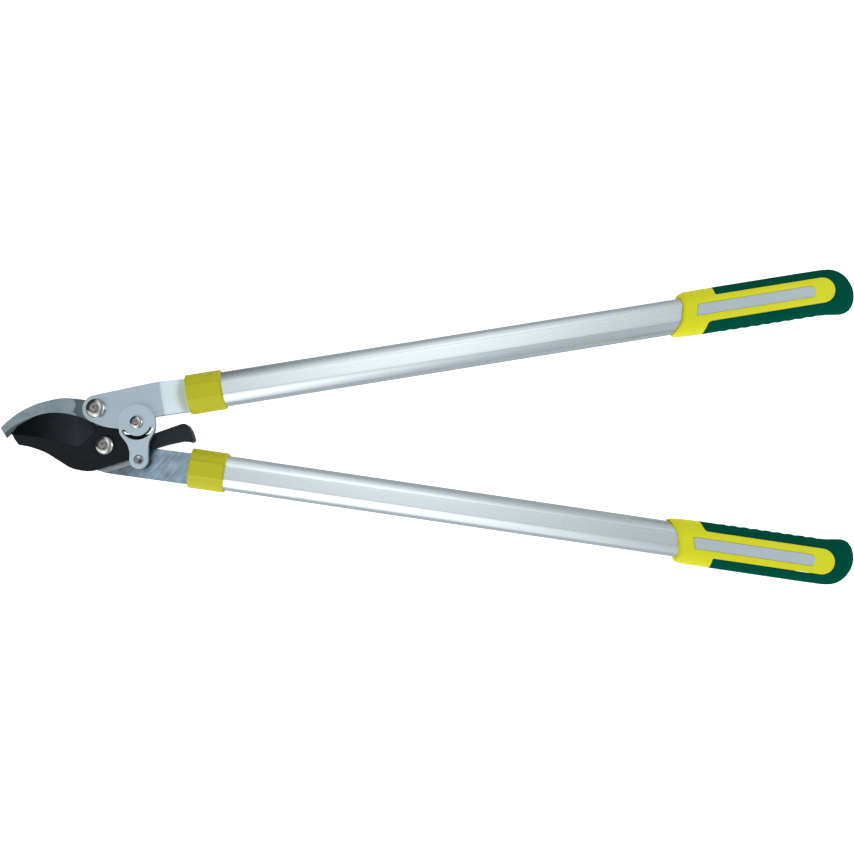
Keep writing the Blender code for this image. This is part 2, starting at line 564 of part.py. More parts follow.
def make_handle(word, handle, arm_plate):
    made = []
    c0 = handle["collar"]
    tube0, tube1 = c0 + COLLAR_FACE + 0.7, handle["grip"] + TUBE_IN_GRIP
    frame, section = handle_frame(handle), along_handle(handle)
    inner_a, inner_b = TUBE_A - TUBE_WALL, TUBE_B - TUBE_WALL
    inner_flat = TUBE_FLAT - TUBE_WALL

    tube = extruded(
        word + "_tube",
        [oval(TUBE_A, TUBE_B, flat=TUBE_FLAT), oval(inner_a, inner_b, flat=inner_flat)],
        tube0, tube1, section, ALUMINIUM,
    )
    plug = extruded(
        word + "_tube_plug",
        [
            oval(inner_a - GAP, inner_b - GAP, flat=inner_flat - GAP),
            [(-TANG_HALF - GAP, -2.85), (TANG_HALF + GAP, -2.85), (TANG_HALF + GAP, 2.85), (-TANG_HALF - GAP, 2.85)],
        ],
        tube0, tube0 + 24.0, section, PLUG_PLASTIC,
    )
    rivets = []
    for k, (place_name, u) in enumerate(zip(("front", "rear"), TANG_RIVETS)):
        centre = (c0 + u, 0)
        hole = extruded(
            f"{word}_rivet_hole_{k}", [circle(centre, TANG_RIVET_R + GAP, 16)], -14, 14, frame, cutter=True
        )
        for owner in (tube, plug, arm_plate):
            boolean(owner, "DIFFERENCE", hole)
        rivets.append(
            extruded(
                f"{word}_tang_rivet_{place_name}", [circle(centre, TANG_RIVET_R, 16)],
                -TUBE_FLAT + 0.1, TUBE_FLAT - 0.1, frame, ZINC,
            )
        )
    collar = extruded(word + "_collar", [oval(COLLAR_A, COLLAR_B, 2.6, count=40)], c0, c0 + COLLAR_LENGTH, section, COLLAR_PLASTIC)
    pocket = extruded(
        word + "_collar_pocket", [oval(TUBE_A + GAP, TUBE_B + GAP, flat=TUBE_FLAT + GAP)],
        c0 + COLLAR_FACE, c0 + COLLAR_LENGTH + 2, section, cutter=True,
    )
    slot_cut = extruded(
        word + "_collar_slot",
        [[(-15.3, -2.9), (15.3, -2.9), (15.3, 2.9), (-15.3, 2.9)]],
        c0 - 2, c0 + COLLAR_FACE + 1, section, cutter=True,
    )
    boolean(collar, "DIFFERENCE", pocket)
    boolean(collar, "DIFFERENCE", slot_cut)

    g0 = handle["grip"]
    core = grip_shape(word + "_grip_core", handle, False, GRIP_PLASTIC)
    cover = grip_shape(word + "_grip_cover", handle, False, GRIP_RUBBER)
    boolean(core, "INTERSECT", panel_region(handle, 0.0, name=word + "_panel"))
    sleeve = extruded(
        word + "_sleeve", [oval(TUBE_A + 1.9, TUBE_B + 1.9, flat=TUBE_FLAT + 1.7)], g0 + 8.0, g0 + 104.0, section, cutter=True
    )
    boolean(core, "UNION", sleeve)
    bore = extruded(
        word + "_grip_bore", [oval(TUBE_A + GAP, TUBE_B + GAP, flat=TUBE_FLAT + GAP)], g0 - 30, g0 + TUBE_IN_GRIP + 0.5, section, cutter=True
    )
    boolean(core, "DIFFERENCE", bore)
    boolean(cover, "DIFFERENCE", panel_region(handle, GAP, name=word + "_panel_clear"))
    sleeve_clear = extruded(
        word + "_sleeve_clear", [oval(TUBE_A + 2.2, TUBE_B + 2.2, flat=TUBE_FLAT + 2.0)], g0 - 12.0, g0 + 104.3, section, cutter=True
    )
    boolean(cover, "DIFFERENCE", sleeve_clear)
    inlays = []
    for where, low, high, cut in (
        ("top", GRIP_HALF_HEIGHT - INLAY_DEPTH, GRIP_HALF_HEIGHT, (GRIP_HALF_HEIGHT - INLAY_DEPTH - GAP, 16)),
        ("bottom", -GRIP_HALF_HEIGHT, -GRIP_HALF_HEIGHT + INLAY_DEPTH, (-16, -GRIP_HALF_HEIGHT + INLAY_DEPTH + GAP)),
    ):
        seat = extruded(f"{word}_inlay_seat_{where}", [inlay_loop(handle, GAP)], *cut, frame, cutter=True)
        boolean(core, "DIFFERENCE", seat)
        inlays.append(extruded(f"{word}_grip_inlay_{where}", [inlay_loop(handle, 0)], low, high, frame, INLAY_PLASTIC))
    return [tube, plug, *rivets, collar, core, cover, *inlays]


upper_pieces = make_handle("upper", UPPER, arm)
lower_pieces = make_handle("lower", LOWER, hook)


# ---------------------------------------------------------------- assembly
def pivot(name, centre, z, parent=None):
    empty = bpy.data.objects.new(name, None)
    parts.objects.link(empty)
    empty.empty_display_size = 0.02
    empty.matrix_world = table_frame() @ Matrix.Translation((centre[0] * MM, centre[1] * MM, z * MM))
    bpy.context.view_layer.update()
    if parent:
        adopt(parent, [empty])
    return empty


def adopt(parent, children):
    bpy.context.view_layer.update()
    for child in children:
        where = child.matrix_world.copy()
        child.parent = parent
        child.matrix_parent_inverse = parent.matrix_world.inverted()
        child.matrix_world = where


frame_point = pivot("lopper_frame", ORIGIN, 0)
handle_pivot = pivot("handle_pivot", HANDLE_PIVOT, MID_Z, frame_point)
blade_pivot = pivot("blade_pivot", BLADE_PIVOT, MID_Z, frame_point)
link_pivot = pivot("link_pivot", LINK_PIVOT, MID_Z, handle_pivot)
adopt(frame_point, [hook, handle_bolt, blade_bolt, handle_spacer, handle_washer, blade_washer, handle_nut, blade_nut, *lower_pieces])
adopt(handle_pivot, [arm, link_bolt, *upper_pieces])
adopt(blade_pivot, [blade])
adopt(link_pivot, [link, link_rivet, rivet_spacer])
bpy.context.view_layer.update()
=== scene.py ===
"""Bypass loppers lying flat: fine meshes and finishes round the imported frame.

The pieces are drawn in millimetres, as in the design: +X from the jaw to the
grips, +Y from the lower handle to the upper one. ORIGIN is the drawing point at
the part's origin, and every mesh is stored in metres in the row's own frame.
"""

from math import cos, hypot, pi, radians, sin

import bmesh
import bpy
from mathutils import Matrix, Vector


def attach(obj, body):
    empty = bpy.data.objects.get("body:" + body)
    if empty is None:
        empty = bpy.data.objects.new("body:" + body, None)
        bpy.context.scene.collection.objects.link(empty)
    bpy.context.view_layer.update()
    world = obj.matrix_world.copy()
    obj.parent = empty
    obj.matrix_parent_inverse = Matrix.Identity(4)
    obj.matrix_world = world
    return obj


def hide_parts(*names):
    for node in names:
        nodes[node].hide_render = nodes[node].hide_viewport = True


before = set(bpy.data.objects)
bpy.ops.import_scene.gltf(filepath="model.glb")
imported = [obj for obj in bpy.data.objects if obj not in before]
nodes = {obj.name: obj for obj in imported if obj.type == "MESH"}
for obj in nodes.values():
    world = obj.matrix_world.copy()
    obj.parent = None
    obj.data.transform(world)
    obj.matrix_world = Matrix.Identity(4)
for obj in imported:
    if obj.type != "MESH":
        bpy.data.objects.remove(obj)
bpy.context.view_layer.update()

MM = 0.001
ORIGIN = (4.77, 1.45)
GAP = 0.3
HANDLE_PIVOT, BLADE_PIVOT = (-289.3, 14.5), (-282.9, -17.5)
LINK_PIVOT, LINK_RIVET = (-252.8, 2.1), (-250.8, -30.5)
BOLT_R, LINK_BOLT_R, RIVET_R, RIVET_PLAY = 4.0, 3.8, 3.2, 0.7
MID_Z = 13.5
HOOK_Z, BLADE_Z, ARM_Z, LINK_Z = (11.0, 16.0), (16.3, 20.8), (21.1, 25.6), (25.9, 29.9)
UPPER = {"at": (-180.0, 33.4), "angle": 9.39, "side": 1, "collar": -32.5, "grip": 415.0}
LOWER = {"at": (-180.0, -41.1), "angle": -8.38, "side": -1, "collar": -29.4, "grip": 407.8}
TUBE_A, TUBE_B, TUBE_FLAT, TUBE_WALL = 15.5, 10.9, 10.5, 1.6
COLLAR_A, COLLAR_B, COLLAR_LENGTH, COLLAR_FACE = 17.7, 12.7, 31.7, 4.5
TUBE_IN_GRIP = 100.0
TANG_HALF, TANG_LENGTH = 12.0, 28.0
TANG_RIVETS, TANG_RIVET_R = (12.0, 24.0), 2.2
GRIP_HALF_HEIGHT = 13.5
PANEL_MID, PANEL_HALF = 0.55, 11.3
SCALLOP, SCALLOP_PITCH = 0.3, 10.1
INLAY_DEPTH = 1.2
JOGGLE = (-54.0, -34.5)


# ------------------------------------------------------------ materials
def shader_of(made):
    return made.node_tree.nodes["Principled BSDF"]


def finish(name, color, roughness, metallic=0.0, turn=0.0, grain=None, cloud=None, pits=None, rough_vary=0.08, coat=0.0, specular=0.5, sheen=0.0):
    """A finish from layered noise: grain (stretched streaks), cloud (soft tone changes) and pits (fine relief).

    grain = (along per m, across per m, tone, relief in mm), cloud = (per m, tone), pits = (per m, relief in mm)
    """
    made = bpy.data.materials.new(name)
    made.use_nodes = True
    tree = made.node_tree
    shader = shader_of(made)
    shader.inputs["Roughness"].default_value = roughness
    shader.inputs["Metallic"].default_value = metallic
    shader.inputs["Specular IOR Level"].default_value = specular
    if coat:
        shader.inputs["Coat Weight"].default_value = coat
        shader.inputs["Coat Roughness"].default_value = 0.25
    if sheen:
        shader.inputs["Sheen Weight"].default_value = sheen
        shader.inputs["Sheen Roughness"].default_value = 0.5
    place = tree.nodes.new("ShaderNodeTexCoord").outputs["Object"]

    def noise(scale, detail=3.0, rot=0.0):
        mapping = tree.nodes.new("ShaderNodeMapping")
        mapping.inputs["Rotation"].default_value = (0, 0, 0)
        spun = place
        if rot:
            first = tree.nodes.new("ShaderNodeMapping")
            first.inputs["Rotation"].default_value = (0, 0, -rot)
            tree.links.new(place, first.inputs["Vector"])
            spun = first.outputs["Vector"]
        mapping.inputs["Scale"].default_value = scale
        tree.links.new(spun, mapping.inputs["Vector"])
        made_noise = tree.nodes.new("ShaderNodeTexNoise")
        made_noise.inputs["Scale"].default_value = 1.0
        made_noise.inputs["Detail"].default_value = detail
        tree.links.new(mapping.outputs["Vector"], made_noise.inputs["Vector"])
        return made_noise.outputs["Fac"]

    def math(operation, a, b):
        node = tree.nodes.new("ShaderNodeMath")
        node.operation = operation
        for socket, value in zip(node.inputs, (a, b)):
            if isinstance(value, (int, float)):
                socket.default_value = value
            else:
                tree.links.new(value, socket)
        return node.outputs[0]

    tone, relief, rough = None, [], None
    if grain:
        g = noise((grain[0], grain[1], grain[1]), 4.0, turn)
        tone = math("MULTIPLY", math("SUBTRACT", g, 0.5), grain[2] * 2)
        rough = g
        if grain[3]:
            relief.append((g, grain[3]))
    if cloud:
        c = noise((cloud[0],) * 3, 3.0)
        part = math("MULTIPLY", math("SUBTRACT", c, 0.5), cloud[1] * 2)
        tone = part if tone is None else math("ADD", tone, part)
        rough = rough if rough is not None else c
    if pits:
        p = noise((pits[0],) * 3, 2.0)
        relief.append((p, pits[1]))
        if rough is None:
            rough = p
    if tone is not None:
        gain = math("ADD", tone, 1.0)
        scaled = tree.nodes.new("ShaderNodeVectorMath")
        scaled.operation = "SCALE"
        scaled.inputs[0].default_value = color
        tree.links.new(gain, scaled.inputs["Scale"])
        tree.links.new(scaled.outputs["Vector"], shader.inputs["Base Color"])
    else:
        shader.inputs["Base Color"].default_value = (*color, 1)
    if rough is not None and rough_vary:
        tree.links.new(
            math("ADD", math("MULTIPLY", math("SUBTRACT", rough, 0.5), rough_vary * 2), roughness),
            shader.inputs["Roughness"],
        )
    normal = None
    for height, size in relief:
        bump = tree.nodes.new("ShaderNodeBump")
        bump.inputs["Strength"].default_value = 1.0
        bump.inputs["Distance"].default_value = size * MM
        tree.links.new(height, bump.inputs["Height"])
        if normal is not None:
            tree.links.new(normal, bump.inputs["Normal"])
        normal = bump.outputs["Normal"]
    if normal is not None:
        tree.links.new(normal, shader.inputs["Normal"])
    return made


def tube_finish(name, angle):
    return finish(name, (0.80, 0.84, 0.865), 0.27, 1.0, turn=radians(angle), grain=(6, 2600, 0.03, 0.003), cloud=(9, 0.02), rough_vary=0.04)


TUBE = {"upper": tube_finish("tube_aluminium_upper", UPPER["angle"]), "lower": tube_finish("tube_aluminium_lower", LOWER["angle"])}
HOOK = finish("hook_ground_steel", (0.385, 0.475, 0.515), 0.36, 1.0, turn=radians(12), grain=(90, 900, 0.16, 0.014), cloud=(170, 0.22), rough_vary=0.10)
HOOK_NECK = finish("hook_recess_steel", (0.155, 0.182, 0.205), 0.42, 1.0, turn=radians(88), grain=(60, 900, 0.22, 0.018), cloud=(160, 0.2), rough_vary=0.12)
LOWER_ARM = finish("lower_arm_steel", (0.33, 0.43, 0.52), 0.40, 1.0, turn=radians(48), grain=(40, 620, 0.55, 0.026), cloud=(120, 0.46), rough_vary=0.14)
ARM = finish("arm_satin_plate", (0.56, 0.67, 0.74), 0.42, 1.0, turn=radians(9), grain=(160, 700, 0.03, 0.003), cloud=(260, 0.05), pits=(2400, 0.006), rough_vary=0.05)
LINK = finish("link_satin_plate", (0.60, 0.71, 0.78), 0.42, 1.0, cloud=(260, 0.04), pits=(2400, 0.006), rough_vary=0.05)
BLADE = finish("blade_coating", (0.0085, 0.0115, 0.0145), 0.42, 0.0, cloud=(130, 0.35), pits=(1500, 0.012), rough_vary=0.10, specular=0.14)
BLADE_GROUND = finish("blade_coating_ground", (0.0150, 0.0190, 0.0240), 0.38, 0.0, turn=radians(100), grain=(60, 1300, 0.3, 0.010), cloud=(90, 0.5), rough_vary=0.10, specular=0.26)
CHROME = finish("bolt_chrome", (0.47, 0.455, 0.425), 0.065, 1.0, cloud=(300, 0.10), rough_vary=0.03)
ZINC = finish("fastener_zinc", (0.55, 0.58, 0.60), 0.34, 1.0, cloud=(260, 0.10), pits=(1800, 0.01), rough_vary=0.08)
RIVET = finish("rivet_steel", (0.24, 0.26, 0.28), 0.34, 1.0, cloud=(300, 0.2), rough_vary=0.08)
COLLAR = finish("collar_plastic", (0.53, 0.50, 0.016), 0.46, 0.0, cloud=(60, 0.035), pits=(1700, 0.010), rough_vary=0.06, specular=0.22)
GRIP_Y = finish("grip_plastic", (0.70, 0.675, 0.012), 0.44, 0.0, cloud=(50, 0.03), pits=(1900, 0.008), rough_vary=0.06, specular=0.22)
GRIP_G = finish("grip_rubber", (0.0, 0.068, 0.043), 0.62, 0.0, cloud=(45, 0.06), pits=(2100, 0.022), rough_vary=0.06, specular=0.0)
INLAY = finish("inlay_plastic", (0.44, 0.51, 0.54), 0.34, 0.0, cloud=(40, 0.02), pits=(1500, 0.004), rough_vary=0.05, specular=0.3)
PLUG = finish("plug_plastic", (0.03, 0.03, 0.03), 0.6, 0.0, cloud=(80, 0.1), pits=(1500, 0.01))
FLOOR = finish("floor_white", (0.85, 0.85, 0.85), 0.9, 0.0, cloud=(3, 0.002), rough_vary=0.0, specular=0.1)
shader_of(FLOOR).inputs["Emission Color"].default_value = (1, 1, 1, 1)
shader_of(FLOOR).inputs["Emission Strength"].default_value = 0.95


ARM_STRIP = finish("lower_arm_ground_strip", (0.40, 0.43, 0.45), 0.38, 1.0, turn=radians(17), grain=(60, 900, 0.30, 0.014), cloud=(200, 0.35), rough_vary=0.1)
# Painted reflection: the joggle slope is a lighter, less metallic copy of the arm plate, standing in for the bright
# light the slope reflects.
ARM_SLOPE_PAINTED_LIGHT = finish("arm_slope_painted_light", (0.62, 0.70, 0.77), 0.5, 0.2, turn=radians(9), grain=(160, 700, 0.03, 0.003), cloud=(260, 0.04), pits=(2400, 0.006), rough_vary=0.05)
# Painted shade: the walls of the link's slot are made near-black to stand in for the shade inside the slot.
SLOT_WALL_SHADE = finish("link_slot_wall_painted_shade", (0.06, 0.068, 0.076), 0.5, 0.6, cloud=(200, 0.25), pits=(1500, 0.02), rough_vary=0.1)
CUT_EDGE = finish("plate_cut_edge", (0.17, 0.20, 0.23), 0.45, 1.0, cloud=(200, 0.25), pits=(1500, 0.02), rough_vary=0.1)


def fade_along_x(made, start, end, low, high, shine):
    """A finish whose tone and gloss rise along X; on the arm slope this ramp is painted light."""
    tree = made.node_tree
    shader = shader_of(made)
    split = tree.nodes.new("ShaderNodeSeparateXYZ")
    tree.links.new(tree.nodes.new("ShaderNodeTexCoord").outputs["Object"], split.inputs[0])
    ramp = tree.nodes.new("ShaderNodeMapRange")
    ramp.interpolation_type = "SMOOTHSTEP"
    tree.links.new(split.outputs["X"], ramp.inputs["Value"])
    for key, number in (("From Min", start), ("From Max", end), ("To Min", low), ("To Max", high)):
        ramp.inputs[key].default_value = number
    scaled = tree.nodes.new("ShaderNodeVectorMath")
    scaled.operation = "SCALE"
    tree.links.new(shader.inputs["Base Color"].links[0].from_socket, scaled.inputs[0])
    tree.links.new(ramp.outputs["Result"], scaled.inputs["Scale"])
    tree.links.new(scaled.outputs[0], shader.inputs["Base Color"])
    gloss = tree.nodes.new("ShaderNodeMath")
    gloss.operation = "MULTIPLY"
    gloss.inputs[1].default_value = shine
    tree.links.new(ramp.outputs["Result"], gloss.inputs[0])
    tree.links.new(gloss.outputs[0], shader.inputs["Specular IOR Level"])


fade_along_x(BLADE_GROUND, -0.356, -0.300, 0.27, 1.08, 0.24)
fade_along_x(LOWER_ARM, -0.276, -0.246, 0.52, 1.04, 0.5)
fade_along_x(BLADE, -0.275, -0.232, 1.0, 1.55, 0.14)
# Painted light: the slope brightens towards the collar, over the shade the collar casts on it.
fade_along_x(ARM_SLOPE_PAINTED_LIGHT, -0.243, -0.216, 1.06, 1.22, 0.30)


# ------------------------------------------------------------ drawing helpers
def table_frame():
    return Matrix.Translation((-ORIGIN[0] * MM, -ORIGIN[1] * MM, 0))


def handle_frame(handle):
    x, y = handle["at"]
    return table_frame() @ Matrix.Translation((x * MM, y * MM, MID_Z * MM)) @ Matrix.Rotation(radians(handle["angle"]), 4, "Z")


def along_handle(handle):
    return handle_frame(handle) @ Matrix(((0, 0, 1, 0), (1, 0, 0, 0), (0, 1, 0, 0), (0, 0, 0, 1)))


def on_handle(handle, u, v):
    x, y = handle["at"]
    turn = radians(handle["angle"])
    v *= handle["side"]
    return (x + u * cos(turn) - v * sin(turn), y + u * sin(turn) + v * cos(turn))


def smooth_run(points, steps=10):
    ends = [
        (2 * points[0][0] - points[1][0], 2 * points[0][1] - points[1][1]),
        *points,
        (2 * points[-1][0] - points[-2][0], 2 * points[-1][1] - points[-2][1]),
    ]
    found = []
    for i in range(1, len(ends) - 2):
        a, b, c, d = ends[i - 1 : i + 3]
        for k in range(steps):
            t = k / steps
            found.append(tuple(
                0.5 * (2 * b[j] + (c[j] - a[j]) * t + (2 * a[j] - 5 * b[j] + 4 * c[j] - d[j]) * t**2 + (3 * b[j] - a[j] - 3 * c[j] + d[j]) * t**3)
                for j in (0, 1)
            ))
    return [*found, points[-1]]


def arc(centre, radius, start, end, count):
    return [
        (centre[0] + radius * cos(radians(start + (end - start) * k / count)), centre[1] + radius * sin(radians(start + (end - start) * k / count)))
        for k in range(count + 1)
    ]


def circle(centre, radius, count=48):
    return arc(centre, radius, 0, 360, count)[:-1]


def interpolated(table, x):
    if x <= table[0][0]:
        return table[0][1]
    for (a, va), (b, vb) in zip(table, table[1:]):
        if x <= b:
            return va + (vb - va) * (x - a) / (b - a)
    return table[-1][1]


def eased(table, x):
    """As interpolated, through a smooth curve."""
    if x <= table[0][0]:
        return table[0][1]
    for i in range(len(table) - 1):
        (a, va), (b, vb) = table[i], table[i + 1]
        if x <= b:
            before = table[i - 1] if i else (a - (b - a), va)
            after = table[i + 2] if i + 2 < len(table) else (b + (b - a), vb)
            ma = (vb - before[1]) / (b - before[0]) * (b - a)
            mb = (after[1] - va) / (after[0] - a) * (b - a)
            t = (x - a) / (b - a)
            return (2 * t**3 - 3 * t**2 + 1) * va + (t**3 - 2 * t**2 + t) * ma + (3 * t**2 - 2 * t**3) * vb + (t**3 - t**2) * mb
    return table[-1][1]


def without_repeats(points, least=0.02):
    kept = []
    for p in points:
        if not kept or hypot(p[0] - kept[-1][0], p[1] - kept[-1][1]) > least:
            kept.append(p)
    if hypot(kept[0][0] - kept[-1][0], kept[0][1] - kept[-1][1]) < least:
        kept.pop()
    corners = []
    for k, p in enumerate(kept):
        a, b = kept[k - 1], kept[(k + 1) % len(kept)]
        if abs((p[0] - a[0]) * (b[1] - p[1]) - (p[1] - a[1]) * (b[0] - p[0])) > 1e-4:
            corners.append(p)
    return corners


def oval(a, b, power=2.5, flat=None, count=96):
    found = []
    for k in range(count):
        turn = 2 * pi * (k + 0.5) / count
        c, s = cos(turn), sin(turn)
        v = a * abs(c) ** (2 / power) * (1 if c > 0 else -1)
        z = b * abs(s) ** (2 / power) * (1 if s > 0 else -1)
        found.append((v, z if flat is None else max(-flat, min(flat, z))))
    return found


def link_to_scene(obj):
    bpy.context.scene.collection.objects.link(obj)
    return obj


def mesh_object(name, shape, mats):
    mesh = bpy.data.meshes.new(name)
    shape.to_mesh(mesh)
    shape.free()
    for mat in mats:
        mesh.materials.append(mat)
    return link_to_scene(bpy.data.objects.new(name, mesh))


def extruded(name, loops, low, high, where, *mats):
    curve = bpy.data.curves.new(name, "CURVE")
    curve.dimensions = "2D"
    curve.fill_mode = "BOTH"
    curve.extrude = (high - low) / 2 * MM
    for loop in loops:
        loop = without_repeats(loop)
        spline = curve.splines.new("POLY")
        spline.points.add(len(loop) - 1)
        for point, (x, y) in zip(spline.points, loop):
            point.co = (x * MM, y * MM, 0, 1)
        spline.use_cyclic_u = True
    drawn = link_to_scene(bpy.data.objects.new(name + "_outline", curve))
    bpy.context.view_layer.update()
    mesh = bpy.data.meshes.new_from_object(drawn.evaluated_get(bpy.context.evaluated_depsgraph_get()))
    bpy.data.objects.remove(drawn, do_unlink=True)
    bpy.data.curves.remove(curve)
    shape = bmesh.new()
    shape.from_mesh(mesh)
    bpy.data.meshes.remove(mesh)
    bmesh.ops.remove_doubles(shape, verts=shape.verts, dist=1e-6)
    bmesh.ops.transform(shape, matrix=where @ Matrix.Translation((0, 0, (low + high) / 2 * MM)), verts=shape.verts)
    bmesh.ops.recalc_face_normals(shape, faces=shape.faces)
    return mesh_object(name, shape, mats)


def lofted(name, rings, where, *mats):
    shape = bmesh.new()
    made = [[shape.verts.new(where @ (Vector(p) * MM)) for p in ring] for ring in rings]
    count = len(rings[0])
    for lower, upper in zip(made, made[1:]):
        for k in range(count):
            n = (k + 1) % count
            shape.faces.new((lower[k], lower[n], upper[n], upper[k]))
    shape.faces.new(made[0][::-1])
    shape.faces.new(made[-1])
    bmesh.ops.recalc_face_normals(shape, faces=shape.faces)
    return mesh_object(name, shape, mats)


def sleeve(name, outer, inner, stations, where, *mats):
    """A hollow section along z; each station is (z, growth of the outer loop, growth of the inner loop)."""
    shape = bmesh.new()

    def ring(loop, z, grow):
        found = []
        for k, (x, y) in enumerate(loop):
            a, b = loop[k - 1], loop[(k + 1) % len(loop)]
            n = Vector((b[1] - a[1], a[0] - b[0]))
            n = n.normalized() if n.length > 0 else Vector((0, 0))
            found.append(shape.verts.new(where @ (Vector((x + n.x * grow, y + n.y * grow, z)) * MM)))
        return found

    outs = [ring(outer, z, g) for z, g, _ in stations]
    ins = [ring(inner, z, g) for z, _, g in stations]
    count = len(outer)
    for rings in (outs, ins):
        for lower, upper in zip(rings, rings[1:]):
            for k in range(count):
                n = (k + 1) % count
                shape.faces.new((lower[k], lower[n], upper[n], upper[k]))
    for a, b in ((outs[0], ins[0]), (outs[-1], ins[-1])):
        for k in range(count):
            n = (k + 1) % count
            shape.faces.new((a[k], a[n], b[n], b[k]))
    bmesh.ops.recalc_face_normals(shape, faces=shape.faces)
    return mesh_object(name, shape, mats)


def turned(name, profile, centre, mat, steps=64):
    shape = bmesh.new()
    rings = []
    for r, z in profile:
        if r < 1e-6:
            rings.append([shape.verts.new((0, 0, z * MM))])
        else:
            rings.append([shape.verts.new((r * MM * cos(2 * pi * k / steps), r * MM * sin(2 * pi * k / steps), z * MM)) for k in range(steps)])
    for a, b in zip(rings, rings[1:]):
        for k in range(steps):
            n = (k + 1) % steps
            loop = [a[k % len(a)], a[n % len(a)], b[n % len(b)], b[k % len(b)]]
            loop = [v for i, v in enumerate(loop) if v not in loop[:i]]
            if len(loop) > 2:
                shape.faces.new(loop)
    bmesh.ops.recalc_face_normals(shape, faces=shape.faces)
    bmesh.ops.transform(shape, matrix=table_frame() @ Matrix.Translation((centre[0] * MM, centre[1] * MM, 0)), verts=shape.verts)
    return mesh_object(name, shape, [mat])


def cut(obj, *steps):
    """Applies Booleans in turn and removes their operands. A step is (operation, object)."""
    for operation, other in steps:
        step = obj.modifiers.new(operation.lower(), "BOOLEAN")
        step.operation = operation
        step.solver = "EXACT"
        step.object = other
    bpy.context.view_layer.update()
    mesh = bpy.data.meshes.new_from_object(obj.evaluated_get(bpy.context.evaluated_depsgraph_get()))
    obj.modifiers.clear()
    old = obj.data
    obj.data = mesh
    bpy.data.meshes.remove(old)
    mesh.name = obj.name
    for _, other in steps:
        bpy.data.objects.remove(other, do_unlink=True)
    shape = bmesh.new()
    shape.from_mesh(mesh)
    bmesh.ops.remove_doubles(shape, verts=shape.verts, dist=2e-6)
    bmesh.ops.dissolve_degenerate(shape, edges=shape.edges, dist=2e-6)
    shape.to_mesh(mesh)
    shape.free()
    return obj


def rounded(obj, width=0.4, segments=3, angle=40, sharp=35):
    """Small rounds on the edges, with flat faces kept flat in the shading."""
    obj.data.shade_smooth()
    if width:
        bevel = obj.modifiers.new("edge_round", "BEVEL")
        bevel.width = width * MM
        bevel.segments = segments
        bevel.limit_method = "ANGLE"
        bevel.angle_limit = radians(angle)
        bevel.harden_normals = False
    obj.data.set_sharp_from_angle(angle=radians(sharp))
    weighted = obj.modifiers.new("flat_faces", "WEIGHTED_NORMAL")
    weighted.keep_sharp = True
    weighted.weight = 80
    return obj


def finish_piece(obj, body, slot, *replaced):
    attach(obj, body)
    if replaced:
        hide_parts(*replaced)
    return obj


# ------------------------------------------------------------ camera
camera_data = bpy.data.cameras.new("camera")
camera_data.lens = 898.9 * 36 / 854
camera_data.sensor_width = 36
camera_data.shift_y = 42.5 / 854
camera_data.clip_start, camera_data.clip_end = 0.01, 20
camera = link_to_scene(bpy.data.objects.new("camera", camera_data))
right = Vector((0.99982161, 0.0, 0.01888753))
up = Vector((-0.000892006, 0.998884171, 0.0472188278))
back = right.cross(up)
camera.matrix_world = Matrix((
    (right.x, up.x, back.x, (-15.1127 - ORIGIN[0]) * MM),
    (right.y, up.y, back.y, (-75.831 - ORIGIN[1]) * MM),
    (right.z, up.z, back.z, 813.5 * MM),
    (0, 0, 0, 1),
))
bpy.context.scene.camera = camera


# ------------------------------------------------------------ hook jaw and lower arm
HOOK_INNER = [
    (-372.7, -6.6), (-368.9, -2.8), (-363.5, 0.4), (-359.0, 3.2), (-353.1, 6.0), (-345.2, 9.3), (-339.0, 11.0),
    (-327.4, 11.7), (-315.8, 10.3), (-303.5, 5.8), (-297.6, 1.4), (-293.6, -3.0), (-296.5, -15.0), (-297.5, -29.0), (-292.1, -38.7),
]
HOOK_OUTER = [
    (-302.0, 23.3), (-313.0, 24.6), (-323.8, 24.8), (-334.5, 22.8), (-346.5, 19.3), (-359.8, 12.5), (-369.0, 5.7), (-374.6, 0.4), (-376.4, -1.8),
]
tang_low = LOWER["collar"] + COLLAR_FACE - 0.6
hook_outline = (
    smooth_run(HOOK_INNER)
    + [(-284.0, -41.4), (-265.0, -44.2), on_handle(LOWER, -63.9, 15.3)]
    + [on_handle(LOWER, tang_low, 15.0), on_handle(LOWER, tang_low, TANG_HALF)]
    + [on_handle(LOWER, LOWER["collar"] + TANG_LENGTH, TANG_HALF), on_handle(LOWER, LOWER["collar"] + TANG_LENGTH, -TANG_HALF)]
    + [on_handle(LOWER, tang_low, -TANG_HALF), on_handle(LOWER, tang_low, -13.0)]
    + smooth_run([on_handle(LOWER, -56.7, -12.4), (-247.0, -18.8), (-262.0, -13.5), (-270.0, -5.0), (-274.5, 6.0)])
    + arc(HANDLE_PIVOT, 11.4, -20, 100, 24)
    + smooth_run(HOOK_OUTER)
)
hook = extruded("hook_jaw_and_lower_arm", [hook_outline, circle(HANDLE_PIVOT, BOLT_R + GAP), circle(BLADE_PIVOT, BOLT_R + GAP)], *HOOK_Z, table_frame(), HOOK, HOOK_NECK, LOWER_ARM)
for vert in hook.data.vertices:
    x, y = vert.co.x / MM + ORIGIN[0], vert.co.y / MM + ORIGIN[1]
    middle = interpolated([(-376.4, -1.9), (-359.0, 8.0), (-345.0, 14.5), (-333.0, 17.0)], x)
    if vert.co.z < 0.0135 and x < -336.0 and y < middle:
        vert.co.y -= interpolated([(-368.0, 4.3), (-336.0, 0.0)], x) * MM
recess_edge = smooth_run([(-315.2, 27.0), (-314.0, 24.4), (-311.6, 21.4), (-311.0, 18.0), (-312.6, 14.0), (-315.9, 10.4), (-319.5, 7.5)], 8)
